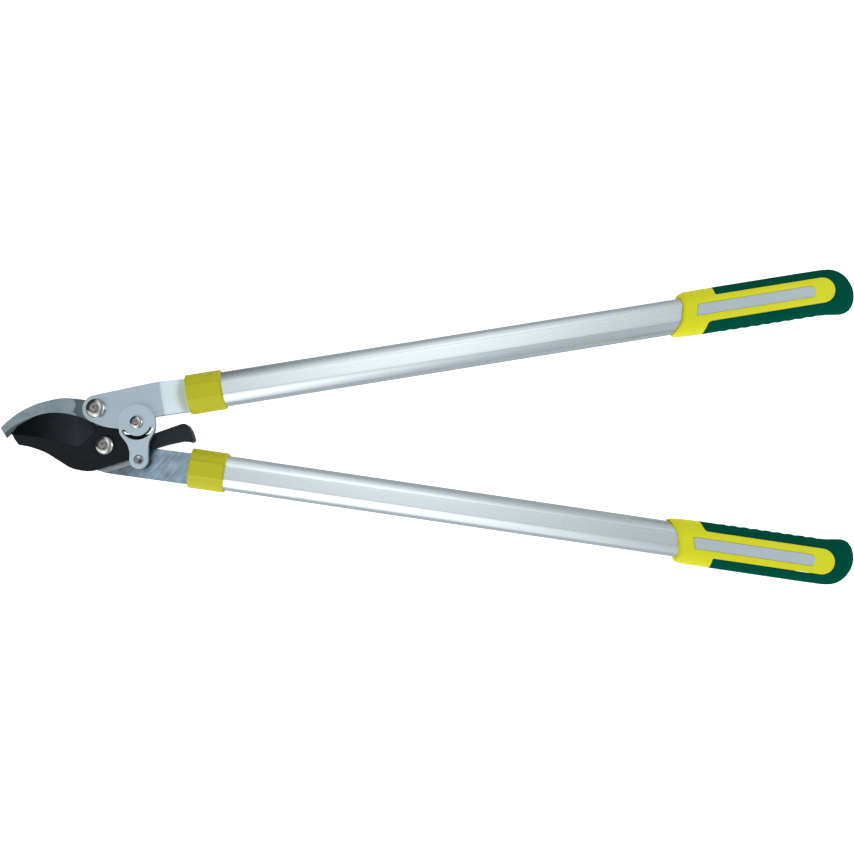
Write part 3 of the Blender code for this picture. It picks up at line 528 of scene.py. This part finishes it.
recess = extruded("recess", [[*recess_edge, (-318.0, -3.0), (-300.0, -48.0), (-262.0, -48.0), (-262.0, 28.0)]], HOOK_Z[1] - 0.45, HOOK_Z[1] + 2, table_frame(), HOOK_NECK)
rivet_holes = [
    extruded("rivet_hole", [circle((LOWER["collar"] + u, 0), TANG_RIVET_R + GAP, 24)], -14, 14, handle_frame(LOWER)) for u in TANG_RIVETS
]
cut(hook, ("DIFFERENCE", recess), *(("DIFFERENCE", h) for h in rivet_holes))
strip_at, strip_rise = (-275.0, -38.4), 0.317
shape = bmesh.new()
shape.from_mesh(hook.data)
bmesh.ops.bisect_plane(
    shape, geom=[*shape.verts, *shape.edges, *shape.faces],
    plane_co=Vector(((strip_at[0] - ORIGIN[0]) * MM, (strip_at[1] - ORIGIN[1]) * MM, 0)), plane_no=Vector((-strip_rise, 1.0, 0.0)).normalized(), dist=1e-6,
)
bmesh.ops.bisect_plane(
    shape, geom=[*shape.verts, *shape.edges, *shape.faces],
    plane_co=Vector(((-250.0 - ORIGIN[0]) * MM, 0, 0)), plane_no=Vector((1.0, 0.0, 0.0)), dist=1e-6,
)
bmesh.ops.bisect_plane(
    shape, geom=[*shape.verts, *shape.edges, *shape.faces],
    plane_co=Vector((0, (-10.0 - ORIGIN[1]) * MM, 0)), plane_no=Vector((0.0, 1.0, 0.0)), dist=1e-6,
)
shape.to_mesh(hook.data)
shape.free()
hook.data.materials.clear()
for mat in (HOOK, HOOK_NECK, LOWER_ARM, CUT_EDGE, ARM_STRIP):
    hook.data.materials.append(mat)
for face in hook.data.polygons:
    x, y, z = (face.center[i] / MM + (ORIGIN[i] if i < 2 else 0) for i in range(3))
    face.material_index = 0
    if x > -311.0 and z < 15.9:
        face.material_index = 1 if x < -262 and y > -6.0 else 2
    if x > -262.0:
        face.material_index = 2
    if face.normal.z > 0.9 and z < 15.9 and x < -250.0 and strip_at[1] + strip_rise * (x - strip_at[0]) < y < -10.0:
        face.material_index = 4
    if face.normal.z < 0.8 and z < 15.9:
        face.material_index = 3
rounded(hook, 0.35)
finish_piece(hook, "lower_handle", "hook_steel", "hook_and_lower_arm")

# ------------------------------------------------------------ blade
BLADE_EDGE = [
    (-365.4, -5.3), (-361.6, -0.6), (-358.4, 1.5), (-352.2, 5.3), (-341.7, 10.1), (-329.6, 11.8),
    (-316.2, 10.5), (-304.0, 6.7), (-296.0, 2.9), (-290.5, -1.6),
]
BLADE_BACK = [
    (-261.6, -29.8), (-275.0, -34.2), (-289.7, -38.7), (-297.0, -40.0), (-303.0, -39.7), (-312.5, -37.3), (-321.9, -31.6),
    (-335.5, -23.5), (-348.9, -18.8), (-355.5, -17.6), (-358.6, -16.4), (-362.4, -11.2), (-365.4, -5.3),
]
TAIL_TOP = [(-266.0, -7.6), (-252.0, -8.4), (-239.9, -6.8), (-217.0, 1.5), (-215.2, 1.9), (-213.2, 1.8)]
TAIL_END = smooth_run([(-211.8, 1.1), (-209.4, -2.0), (-207.3, -6.5), (-206.1, -10.5), (-205.9, -12.4), (-206.8, -13.9), (-208.4, -14.4), (-210.2, -14.1)], 5)
TAIL_UNDER = smooth_run([(-214.9, -13.9), (-229.0, -17.0), (-239.0, -20.2), (-242.6, -23.0), (-243.4, -26.5)], 6)
blade_outline = (
    smooth_run(BLADE_EDGE) + arc(BLADE_PIVOT, 19.0, 108, 32, 24) + TAIL_TOP + TAIL_END + TAIL_UNDER
    + arc(LINK_RIVET, 7.4, 10, -186, 28) + smooth_run(BLADE_BACK)[:-1]
)
blade = extruded("cutting_blade_fine", [blade_outline, circle(BLADE_PIVOT, BOLT_R + GAP), circle(LINK_RIVET, RIVET_R + RIVET_PLAY)], *BLADE_Z, table_frame(), BLADE, BLADE_GROUND)
stop = extruded(
    "tail_stop", [[(-211.2, 0.6), *TAIL_END[6:-3], (-209.5, -13.9), (-212.6, -6.0), (-214.2, 0.8)]],
    9.5, BLADE_Z[0] + 2.0, table_frame(), BLADE,
)
GROUND = [(-289.9, -4.4), (-305.8, -18.9), (-322.3, -14.2), (-339.8, -10.6), (-354.0, -8.8), (-363.0, -8.0)]


def along(points, t):
    lengths = [hypot(b[0] - a[0], b[1] - a[1]) for a, b in zip(points, points[1:])]
    left = t * sum(lengths)
    for (a, b), length in zip(zip(points, points[1:]), lengths):
        if left <= length:
            return tuple(a[j] + (b[j] - a[j]) * left / length for j in (0, 1))
        left -= length
    return points[-1]


edge = smooth_run(BLADE_EDGE)[::-1]
rings = []
for k in range(61):
    t = k / 60
    x, y = along(edge, t)
    shoulder = interpolated([(0, 0), (0.24, 0.235), (1, 1)], t)
    sx, sy = along(GROUND, shoulder)
    reach = hypot(x - sx, y - sy)
    dx, dy = (x - sx) / reach, (y - sy) / reach
    fall = (BLADE_Z[1] - BLADE_Z[0] - 0.55) / reach
    notch = 0.55 * max(0.0, min(1.0, (0.30 - t) / 0.06))
    rings.append([
        (sx, sy, BLADE_Z[1] + 0.01), (sx + dx * 0.5, sy + dy * 0.5, BLADE_Z[1] - fall * 0.5 - notch), (x + dx * 2.5, y + dy * 2.5, BLADE_Z[1] - fall * (reach + 2.5)),
        (x + dx * 2.5, y + dy * 2.5, BLADE_Z[1] + 3), (sx, sy, BLADE_Z[1] + 3),
    ])
bevel = lofted("blade_ground", rings, table_frame(), BLADE_GROUND)
cut(blade, ("UNION", stop), ("DIFFERENCE", bevel))
blade.data.materials.clear()
for mat in (BLADE, BLADE_GROUND):
    blade.data.materials.append(mat)
for face in blade.data.polygons:
    tilted = 0.5 < face.normal.z < 0.9995
    face.material_index = 1 if tilted and face.center.x < -0.285 else 0
rounded(blade, 0.3, 2, 30, 30)
finish_piece(blade, "blade", "blade_coating", "cutting_blade")

# ------------------------------------------------------------ upper arm
arm_start = UPPER["collar"] + COLLAR_FACE - 0.6
arm_outline = (
    arc(HANDLE_PIVOT, 12.2, 102, 245, 40)
    + smooth_run([(-292.2, 2.6), (-285.1, -0.5), (-277.5, -2.2), (-270.4, -3.2), (-262.5, -7.0)], 6)
    + arc(LINK_PIVOT, 11.3, -120, -8, 24)
    + smooth_run([(-238.6, 7.6), (-230.0, 8.9), on_handle(UPPER, -40.0, -15.1)], 4)
    + [on_handle(UPPER, arm_start, -14.9), on_handle(UPPER, arm_start, -TANG_HALF)]
    + [on_handle(UPPER, UPPER["collar"] + TANG_LENGTH, -TANG_HALF), on_handle(UPPER, UPPER["collar"] + TANG_LENGTH, TANG_HALF)]
    + [on_handle(UPPER, arm_start, TANG_HALF), on_handle(UPPER, arm_start, 14.9)]
    + [on_handle(UPPER, -36.0, 14.9), on_handle(UPPER, -53.5, 14.2)]
)
arm = extruded("upper_arm_fine", [arm_outline, circle(HANDLE_PIVOT, BOLT_R + GAP), circle(LINK_PIVOT, LINK_BOLT_R + GAP)], *ARM_Z, table_frame(), ARM)
shape = bmesh.new()
shape.from_mesh(arm.data)
turn = radians(UPPER["angle"])
heading = Vector((cos(turn), sin(turn), 0))
for k in range(49):
    u = JOGGLE[0] + (JOGGLE[1] - JOGGLE[0]) * k / 48
    x, y = on_handle(UPPER, u, 0)
    bmesh.ops.bisect_plane(
        shape, geom=[*shape.verts, *shape.edges, *shape.faces],
        plane_co=Vector(((x - ORIGIN[0]) * MM, (y - ORIGIN[1]) * MM, 0)), plane_no=heading, dist=1e-6,
    )
fall = (ARM_Z[0] + ARM_Z[1]) / 2 - MID_Z
start = Vector(((UPPER["at"][0] - ORIGIN[0]) * MM, (UPPER["at"][1] - ORIGIN[1]) * MM, 0))
for vert in shape.verts:
    u = (vert.co - start).dot(heading) / MM
    t = max(0.0, min(1.0, (u - JOGGLE[0]) / (JOGGLE[1] - JOGGLE[0])))
    # two bends of small radius with a straight slope between them
    r, q = 0.14, 0.05
    if t < r:
        ease = t * t / (2 * r)
    elif t > 1 - q:
        ease = (1 - r / 2 - q / 2) - (1 - t) ** 2 / (2 * q)
    else:
        ease = t - r / 2
    vert.co.z -= fall * ease / (1 - r / 2 - q / 2) * MM
shape.to_mesh(arm.data)
shape.free()
holes = [extruded("rivet_hole", [circle((UPPER["collar"] + u, 0), TANG_RIVET_R + GAP, 24)], -14, 14, handle_frame(UPPER)) for u in TANG_RIVETS]
cut(arm, *(("DIFFERENCE", h) for h in holes))
arm.data.materials.clear()
for mat in (ARM, ARM_SLOPE_PAINTED_LIGHT, CUT_EDGE):
    arm.data.materials.append(mat)
# Upward slope faces take the painted-light copy of the arm plate, and the side walls take the cut-edge finish.
for face in arm.data.polygons:
    reach = (face.center - start).dot(heading) / MM
    face.material_index = 1 if face.normal.z > 0.3 and reach > JOGGLE[0] + 0.05 * (JOGGLE[1] - JOGGLE[0]) else 0
    if abs(face.normal.z) < 0.25:
        face.material_index = 2
rounded(arm, 0.45)
finish_piece(arm, "upper_handle", "arm_steel", "upper_arm_plate")

# ------------------------------------------------------------ link
LINK_R, LINK_END_R = 15.8, 7.9
SLOT_R, SLOT_HALF, SLOT_ANGLES = 13.6, 1.7, (-24.7, -143.8)
link_outline = (
    arc(LINK_PIVOT, LINK_R, 5, 178, 48)
    + smooth_run([(-268.5, -2.5), (-266.9, -8.9), (-260.9, -16.9), (-258.6, -24.0)])
    + arc(LINK_RIVET, LINK_END_R, 180, 360, 32)
    + smooth_run([(-243.0, -23.6), (-241.8, -14.4), (-237.6, -5.8), (-237.0, -1.5)])
)
slot_end = [(LINK_PIVOT[0] + SLOT_R * cos(radians(a)), LINK_PIVOT[1] + SLOT_R * sin(radians(a))) for a in SLOT_ANGLES]
slot = (
    arc(LINK_PIVOT, SLOT_R + SLOT_HALF, *SLOT_ANGLES, 40)
    + arc(slot_end[1], SLOT_HALF, SLOT_ANGLES[1], SLOT_ANGLES[1] - 180, 10)
    + arc(LINK_PIVOT, SLOT_R - SLOT_HALF, SLOT_ANGLES[1], SLOT_ANGLES[0], 40)
    + arc(slot_end[0], SLOT_HALF, SLOT_ANGLES[0] + 180, SLOT_ANGLES[0], 10)
)
link = extruded("link_plate_fine", [link_outline, slot, circle(LINK_PIVOT, LINK_BOLT_R + GAP), circle(LINK_RIVET, RIVET_R + GAP)], *LINK_Z, table_frame(), LINK)
link.data.materials.clear()
for mat in (LINK, SLOT_WALL_SHADE):
    link.data.materials.append(mat)
# Faces of the slot's walls take the near-black painted shade.
for face in link.data.polygons:
    x, y = face.center.x / MM + ORIGIN[0] - LINK_PIVOT[0], face.center.y / MM + ORIGIN[1] - LINK_PIVOT[1]
    walled = abs(face.normal.z) < 0.3 and abs(hypot(x, y) - SLOT_R) < SLOT_HALF + 0.1
    face.material_index = 1 if walled and y < -3.0 else 0
rounded(link, 0.6, 4)
finish_piece(link, "link", "arm_steel", "link_plate")


# ------------------------------------------------------------ fasteners
def bolt(name, body, node, centre, shank_r, bottom, seat, head_r, dome, socket_r, socket_depth, mat):
    top = seat + dome
    flat = head_r * 0.40
    profile = [(0, top - 0.02), (flat * 0.6, top - 0.02), (flat, top - 0.06)]
    profile += [(flat + (head_r - flat) * sin(radians(a)), seat + 0.9 + (dome - 0.98) * cos(radians(a))) for a in range(8, 91, 6)]
    profile += [(head_r, seat + 0.5), (head_r - 0.25, seat), (shank_r, seat), (shank_r, bottom + 0.6), (shank_r - 0.6, bottom), (0, bottom)]
    made = turned(name, profile, centre, mat, 72)
    where = table_frame() @ Matrix.Translation((centre[0] * MM, centre[1] * MM, 0))
    hexagon = extruded(name + "_socket", [circle((0, 0), socket_r, 6)], top - socket_depth, top + 2, where)
    mouth = turned(name + "_mouth", [(0, top + 1), (socket_r + 1.35, top + 1), (socket_r - 0.35, top - 0.75), (0, top - 0.75)], centre, mat, 72)
    cut(made, ("DIFFERENCE", hexagon), ("DIFFERENCE", mouth))
    rounded(made, 0.0, 2, 60, 32)
    return finish_piece(made, body, "bolt_chrome", node)


bolt("handle_bolt_fine", "lower_handle", "handle_pivot_bolt", HANDLE_PIVOT, BOLT_R, 0.0, ARM_Z[1] + GAP, 8.7, 4.4, 2.9, 2.6, CHROME)
bolt("blade_bolt_fine", "lower_handle", "blade_pivot_bolt", BLADE_PIVOT, BOLT_R, 0.0, BLADE_Z[1] + GAP, 8.4, 4.2, 2.9, 2.6, CHROME)
bolt("link_bolt_fine", "upper_handle", "link_bolt", LINK_PIVOT, LINK_BOLT_R, ARM_Z[0] + 0.3, LINK_Z[1] + GAP, 5.7, 3.0, 2.2, 1.9, CHROME)
top = LINK_Z[1] + GAP
rivet = turned(
    "link_rivet_fine",
    [(0, top - 0.1), (1.2, top - 0.02), (2.1, top + 0.25), (2.8, top + 0.62), (3.2, top + 0.80), (3.6, top + 0.82), (3.95, top + 0.62),
     (4.15, top + 0.3), (4.2, top), (RIVET_R, top), (RIVET_R, BLADE_Z[0] + 0.4), (0, BLADE_Z[0] + 0.4)],
    LINK_RIVET, RIVET,
)
rounded(rivet, 0.0, 2, 60, 40)
finish_piece(rivet, "link", "fastener_zinc", "link_rivet")


# ------------------------------------------------------------ handles
def tube_section():
    """The tube's oval, with a flat band between two fine grooves on each face."""
    quarter = []
    for k in range(25):
        v = 5.95 + (TUBE_A - 5.95) * sin(pi / 2 * (1 - k / 24))
        z = TUBE_B * max(0.0, 1 - (v / TUBE_A) ** 2.5) ** 0.4
        quarter.append((v, z))
    quarter += [(5.82, 10.22), (5.72, 10.22), (5.56, TUBE_FLAT - 0.02), (5.0, TUBE_FLAT), (2.5, TUBE_FLAT)]
    upper_half = quarter + [(0.0, TUBE_FLAT)] + [(-v, z) for v, z in quarter[::-1]]
    return upper_half + [(v, -z) for v, z in upper_half[::-1][1:-1]]


def inner_section(count):
    outer = tube_section()
    scale_a, scale_b = (TUBE_A - TUBE_WALL) / TUBE_A, (TUBE_FLAT - TUBE_WALL) / TUBE_FLAT
    return [(v * scale_a, max(-TUBE_FLAT, min(TUBE_FLAT, z)) * scale_b) for v, z in outer]


BAND, BAND_FOOT = 6.5, 8.3


def collar_section():
    """The collar's oval, lower by a step on both sides of a raised flat band."""
    quarter = []
    for k in range(40):
        v = BAND_FOOT + (COLLAR_A - BAND_FOOT) * sin(pi / 2 * (1 - k / 39))
        quarter.append((v, (COLLAR_B - 0.55) * max(0.0, 1 - (v / COLLAR_A) ** 2.6) ** (1 / 2.6)))
    foot = quarter[-1][1]
    quarter += [(BAND_FOOT - 0.25, foot + 0.12), (BAND + 0.35, COLLAR_B - 0.16), (BAND, COLLAR_B - 0.03), (BAND - 0.5, COLLAR_B), (3.0, COLLAR_B)]
    half = quarter + [(0.0, COLLAR_B)] + [(-v, z) for v, z in quarter[::-1]]
    return half + [(v, -z) for v, z in half[::-1][1:-1]]


def grip_sides(u):
    outer = eased([(-2, 20.5), (0, 20.6), (60, 20.8), (128, 20.7), (136, 20.3), (141, 19.2), (146, 16.7), (150.8, 12.3), (154.3, 6.8), (156.4, 2.0), (157.6, -1.0)], u)
    inner = eased([(-2, 17.5), (0, 17.6), (10, 19.0), (34, 19.3), (60, 19.5), (124, 19.6), (132, 20.0), (140, 21.1), (146, 21.7), (150, 20.3),
                   (153.5, 16.5), (155.6, 11.8), (157.0, 7.6), (157.6, 5.0)], u)
    wave = max(0.0, min(1.0, (u - 30) / 8, (130 - u) / 8))
    return outer, inner + SCALLOP * wave * cos(2 * pi * (u - 38) / SCALLOP_PITCH)


def grip_front(v):
    return eased([(-20, -14.6), (-17, -12.2), (-11, -6.6), (-5, -3.4), (0, -1.8), (5, -0.5), (10, 0.3), (15, -0.2), (17.5, -0.2), (19.3, 0.3), (20.6, 2.4)], v)


def grip_shape(name, handle, sink, *mats):
    rings = []
    stations = [0, 0.25, 0.7, 1.4, 2.2, 3.2, 4.5, 7, 10] + [12 + 1.01 * k for k in range(127)] + [141, 142.5, 144, 145.5, 147, 148.5, 149.7, 150.8, 151.8, 152.8, 153.7, 154.5, 155.3, 155.9, 156.5, 156.9, 157.25, 157.5, 157.6]
    side, count = handle["side"], 96
    for u in stations:
        outer, inner = grip_sides(u)
        lift = 1.0 if u < 140 else max(0.02, 1 - ((u - 140) / 17.8) ** 2) ** 0.5
        height = (GRIP_HALF_HEIGHT + 0.5) * lift
        low = min(GRIP_HALF_HEIGHT - sink, height)
        if u < 3.2:
            back = 1.7 * (1 - (1 - (1 - u / 3.2) ** 2) ** 0.5)
            height, low, outer, inner = height - back, low - back, outer - back, inner - back
        points = []
        for k in range(count):
            a = 2 * pi * (k + 0.5) / count
            c, s = cos(a), sin(a)
            mid, half = (outer - inner) / 2, (outer + inner) / 2
            v = mid + half * abs(c) ** (2 / 2.7) * (1 if c > 0 else -1)
            z = height * abs(s) ** (2 / 2.7) * (1 if s > 0 else -1)
            z = max(-low, min(low, z))
            fade = max(0.0, 1 - u / 24)
            points.append((u + handle["grip"] + fade * grip_front(v), v * side, z))
        rings.append(points if side > 0 else points[::-1])
    return lofted(name, rings, handle_frame(handle), *mats)


def panel_region(handle, grow, mats=()):
    g, s = handle["grip"], handle["side"]
    half = PANEL_HALF + grow
    loop = [(-25, 30), (29.0 + grow, 30), (29.3 + grow, PANEL_MID + half + 1.6)]
    loop += arc((30.9 + grow, PANEL_MID + half + 1.6), 1.6, 180, 270, 6)
    loop += arc((125.1, PANEL_MID), half, 90, -90, 40)
    loop += [(22.6, PANEL_MID - half), (21.2, PANEL_MID - half - 0.2), (19.9 + grow, PANEL_MID - half - 0.8), (18.9 + grow, PANEL_MID - half - 1.8), (15.7 + grow, PANEL_MID - half - 7.5), (12.2 + grow, -30), (-25, -30)]
    loop = [(u + g, v * s) for u, v in loop]
    return extruded("panel", [loop if s > 0 else loop[::-1]], -20, 20, handle_frame(handle), *mats)


def inlay_loop(handle, grow):
    g, s = handle["grip"], handle["side"]
    half, mid = 4.85 + grow, 0.7
    loop = arc((114.6, mid + half - 4.1), 4.1, 90, 0, 8) + arc((114.6, mid - half + 4.1), 4.1, 0, -90, 8)
    loop += arc((11.6 - grow * 1.2, mid - half + 1.4), 1.4, -90, -165, 4) + arc((13.8 - grow * 1.2, mid + half - 1.4), 1.4, 165, 90, 4)
    loop = [(u + g, v * s) for u, v in loop]
    return loop if s > 0 else loop[::-1]


def make_handle(word, handle):
    body = word + "_handle"
    c0 = handle["collar"]
    tube0, tube1 = c0 + COLLAR_FACE + 0.7, handle["grip"] + TUBE_IN_GRIP
    where, section = handle_frame(handle), along_handle(handle)
    outer = tube_section()
    tube = sleeve(word + "_tube_fine", outer, inner_section(len(outer)), [(tube0, 0, 0)] + [(tube0 + (tube1 - tube0) * k / 12, 0, 0) for k in range(1, 12)] + [(tube1, 0, 0)], section, TUBE[word])
    holes = [extruded("rivet_hole", [circle((c0 + u, 0), TANG_RIVET_R + GAP, 24)], -14, 14, where) for u in TANG_RIVETS]
    cut(tube, *(("DIFFERENCE", h) for h in holes))
    tube.data.shade_smooth()
    tube.data.set_sharp_from_angle(angle=radians(30))
    finish_piece(tube, body, "tube_aluminium", word + "_tube")

    outer = collar_section()
    fit = oval(TUBE_A + GAP, TUBE_B + GAP, 2.5, TUBE_FLAT + GAP, 128)
    c1 = c0 + COLLAR_LENGTH
    collar = lofted(word + "_collar_fine", [
        [(u, v * (1 - back / COLLAR_A), z * (1 - back / COLLAR_B)) for v, z in outer]
        for u, back in ((c0, 1.1), (c0 + 0.12, 0.7), (c0 + 0.4, 0.33), (c0 + 0.8, 0.1), (c0 + 1.3, 0), *[(c0 + 1.3 + (COLLAR_LENGTH - 2.6) * k / 6, 0) for k in range(1, 6)], (c1 - 1.3, 0), (c1 - 0.8, 0.1), (c1 - 0.4, 0.33), (c1 - 0.12, 0.7), (c1, 1.1))
    ], where, COLLAR)
    bore = extruded("pocket", [fit], c0 + COLLAR_FACE, c1 + 2, section, COLLAR)
    mouth = extruded("slot", [[(-15.3, -2.9), (15.3, -2.9), (15.3, 2.9), (-15.3, 2.9)]], c0 - 2, c0 + COLLAR_FACE + 1, section, COLLAR)
    ledges = [extruded("ledge", [[(c1 - 1.3, -BAND - 0.5), (c1 + 2, -BAND - 0.5), (c1 + 2, BAND + 0.5), (c1 - 1.3, BAND + 0.5)]], *span, where, COLLAR) for span in ((TUBE_FLAT + 1.0, 15), (-15, -TUBE_FLAT - 1.0))]
    cut(collar, ("DIFFERENCE", bore), ("DIFFERENCE", mouth), ("DIFFERENCE", ledges[0]), ("DIFFERENCE", ledges[1]))
    collar.data.shade_smooth()
    collar.data.set_sharp_from_angle(angle=radians(28))
    finish_piece(collar, body, "collar_plastic", word + "_collar")

    g0 = handle["grip"]
    core = grip_shape(word + "_grip_core_fine", handle, 0.0, GRIP_Y)
    pocket = extruded("bore", [oval(TUBE_A + GAP, TUBE_B + GAP, 2.5, TUBE_FLAT + GAP, 96)], g0 - 30, g0 + TUBE_IN_GRIP + 0.5, section, GRIP_Y)
    tunnel = extruded("tunnel", [oval(TUBE_A + 1.9, TUBE_B + 1.9, 2.5, TUBE_FLAT + 1.7, 64)], g0 + 8.0, g0 + 104.0, section, GRIP_Y)
    seats = [extruded("seat", [inlay_loop(handle, GAP)], *span, where, GRIP_Y) for span in ((GRIP_HALF_HEIGHT - INLAY_DEPTH - GAP, 16), (-16, -GRIP_HALF_HEIGHT + INLAY_DEPTH + GAP))]
    cut(core, ("INTERSECT", panel_region(handle, 0.0, (GRIP_Y,))), ("UNION", tunnel), ("DIFFERENCE", pocket), ("DIFFERENCE", seats[0]), ("DIFFERENCE", seats[1]))
    rounded(core, 0.35, 2, 48, 40)
    finish_piece(core, body, "grip_plastic", word + "_grip_core")

    cover = grip_shape(word + "_grip_cover_fine", handle, 0.35, GRIP_G)
    clear = extruded("clear", [oval(TUBE_A + 2.2, TUBE_B + 2.2, 2.5, TUBE_FLAT + 2.0, 64)], g0 - 12.0, g0 + 104.3, section, GRIP_G)
    cut(cover, ("DIFFERENCE", panel_region(handle, GAP, (GRIP_G,))), ("DIFFERENCE", clear))
    rounded(cover, 0.3, 2, 48, 40)
    finish_piece(cover, body, "grip_rubber", word + "_grip_cover")

    for place, low, high in (("top", GRIP_HALF_HEIGHT - INLAY_DEPTH, GRIP_HALF_HEIGHT), ("bottom", -GRIP_HALF_HEIGHT, -GRIP_HALF_HEIGHT + INLAY_DEPTH)):
        inlay = extruded(f"{word}_inlay_{place}_fine", [inlay_loop(handle, 0)], low, high, where, INLAY)
        rounded(inlay, 0.3, 3)
        finish_piece(inlay, body, "inlay_plastic", f"{word}_grip_inlay_{place}")


make_handle("upper", UPPER)
make_handle("lower", LOWER)

# ------------------------------------------------------------ carried-over nodes
for name in ("handle_pivot_spacer", "handle_pivot_washer", "handle_pivot_nut", "blade_pivot_washer", "blade_pivot_nut", "link_rivet_spacer",
             "lower_tang_rivet_front", "lower_tang_rivet_rear", "upper_tang_rivet_front", "upper_tang_rivet_rear", "lower_tube_plug", "upper_tube_plug"):
    obj = nodes[name]
    obj.data.materials.clear()
    obj.data.materials.append(PLUG if "plug" in name else ZINC)
    if "plug" not in name:
        soften = obj.modifiers.new("edge_round", "BEVEL")
        soften.width = 0.35 * MM
        soften.segments = 2
        soften.limit_method = "ANGLE"
        soften.angle_limit = radians(50)

# ------------------------------------------------------------ floor and light
bpy.ops.mesh.primitive_plane_add(size=8, location=(0, 0, -0.0002))
floor = bpy.context.object
floor.name = "floor"
floor.data.materials.append(FLOOR)
floor.visible_glossy = False

world = bpy.data.worlds.new("studio")
bpy.context.scene.world = world
world.use_nodes = True
tree = world.node_tree


def value(operation, *inputs):
    node = tree.nodes.new("ShaderNodeMath")
    node.operation = operation
    for socket, given in zip(node.inputs, inputs):
        if isinstance(given, (int, float)):
            socket.default_value = given
        else:
            tree.links.new(given, socket)
    return node.outputs[0]


def step(given, low, high, start=0.0, end=1.0):
    node = tree.nodes.new("ShaderNodeMapRange")
    node.interpolation_type = "SMOOTHSTEP"
    tree.links.new(given, node.inputs["Value"])
    for name, number in (("From Min", low), ("From Max", high), ("To Min", start), ("To Max", end)):
        node.inputs[name].default_value = number
    return node.outputs[0]


def spot(x, y, centre, wide):
    """A soft round source on a ceiling one unit up."""
    a = value("DIVIDE", value("SUBTRACT", x, centre[0]), wide[0])
    b = value("DIVIDE", value("SUBTRACT", y, centre[1]), wide[1])
    return value("EXPONENT", value("MULTIPLY", value("ADD", value("MULTIPLY", a, a), value("MULTIPLY", b, b)), -0.5))


split = tree.nodes.new("ShaderNodeSeparateXYZ")
tree.links.new(tree.nodes.new("ShaderNodeTexCoord").outputs["Generated"], split.inputs[0])
dx, dy, dz = split.outputs
height = value("MAXIMUM", dz, 0.08)
above = step(dz, 0.02, 0.12)
px, py = value("DIVIDE", dx, height), value("DIVIDE", dy, height)
ceiling = value("MULTIPLY", spot(px, py, (-0.01, 0.42), (0.148, 0.31)), value("MULTIPLY", above, 1.40))
front = value("MULTIPLY", value("MULTIPLY", step(py, -0.10, -0.44), step(dx, 0.24, -0.08)), value("MULTIPLY", step(dz, -0.05, 0.32), step(py, -0.6, -1.2, 1.15, 0.80)))
behind = value("MULTIPLY", value("MULTIPLY", step(py, 0.50, 1.00), spot(dx, dy, (-0.02, 0.9), (0.13, 9.0))), value("MULTIPLY", step(dz, 0.08, 0.50), 0.50))
ends = value("MULTIPLY", step(dx, 0.46, 0.64), value("MULTIPLY", step(dz, 0.25, 0.50), 0.75))
dim = value("MULTIPLY", value("MULTIPLY", step(dx, -0.22, -0.38), step(dz, 0.86, 0.68)), step(dy, -0.45, 0.0))
low_front = value("MULTIPLY", step(dy, -0.2, -0.6), step(dz, 0.2, -0.1, 0.0, 0.10))
ambient = value("SUBTRACT", value("ADD", value("ADD", 0.42, low_front), step(dz, 0.6, 0.95, 0.0, -0.04)), value("MULTIPLY", dim, 0.36))
total = value("ADD", value("ADD", ceiling, front), value("ADD", behind, ends))
glow = tree.nodes.new("ShaderNodeVectorMath")
glow.operation = "SCALE"
glow.inputs[0].default_value = (1.0, 1.0, 1.0)
tree.links.new(total, glow.inputs["Scale"])
cool = tree.nodes.new("ShaderNodeVectorMath")
cool.operation = "SCALE"
cool.inputs[0].default_value = (0.90, 1.0, 1.05)
tree.links.new(ambient, cool.inputs["Scale"])
both = tree.nodes.new("ShaderNodeVectorMath")
both.operation = "ADD"
tree.links.new(glow.outputs["Vector"], both.inputs[0])
tree.links.new(cool.outputs["Vector"], both.inputs[1])
background = tree.nodes["Background"]
tree.links.new(both.outputs["Vector"], background.inputs["Color"])
background.inputs["Strength"].default_value = 1.0


def area(name, place, aim, size, power, color=(1, 1, 1)):
    data = bpy.data.lights.new(name, "AREA")
    data.shape = "RECTANGLE"
    data.size, data.size_y = size
    data.energy = power
    data.color = color
    lamp = link_to_scene(bpy.data.objects.new(name, data))
    lamp.location = place
    lamp.rotation_euler = (Vector(aim) - Vector(place)).to_track_quat("-Z", "Y").to_euler()
    return lamp


area("softbox_grips", (1.45, 0.35, 1.0), (0.0, 0, 0), (0.8, 0.8), 6.0)
area("softbox_jaw", (-0.85, -1.25, 1.15), (-0.1, 0, 0), (0.5, 0.5), 5.0)

scene = bpy.context.scene
scene.view_settings.view_transform = "Standard"
scene.view_settings.look = "None"
scene.view_settings.exposure = 0.0
scene.view_settings.gamma = 1.0
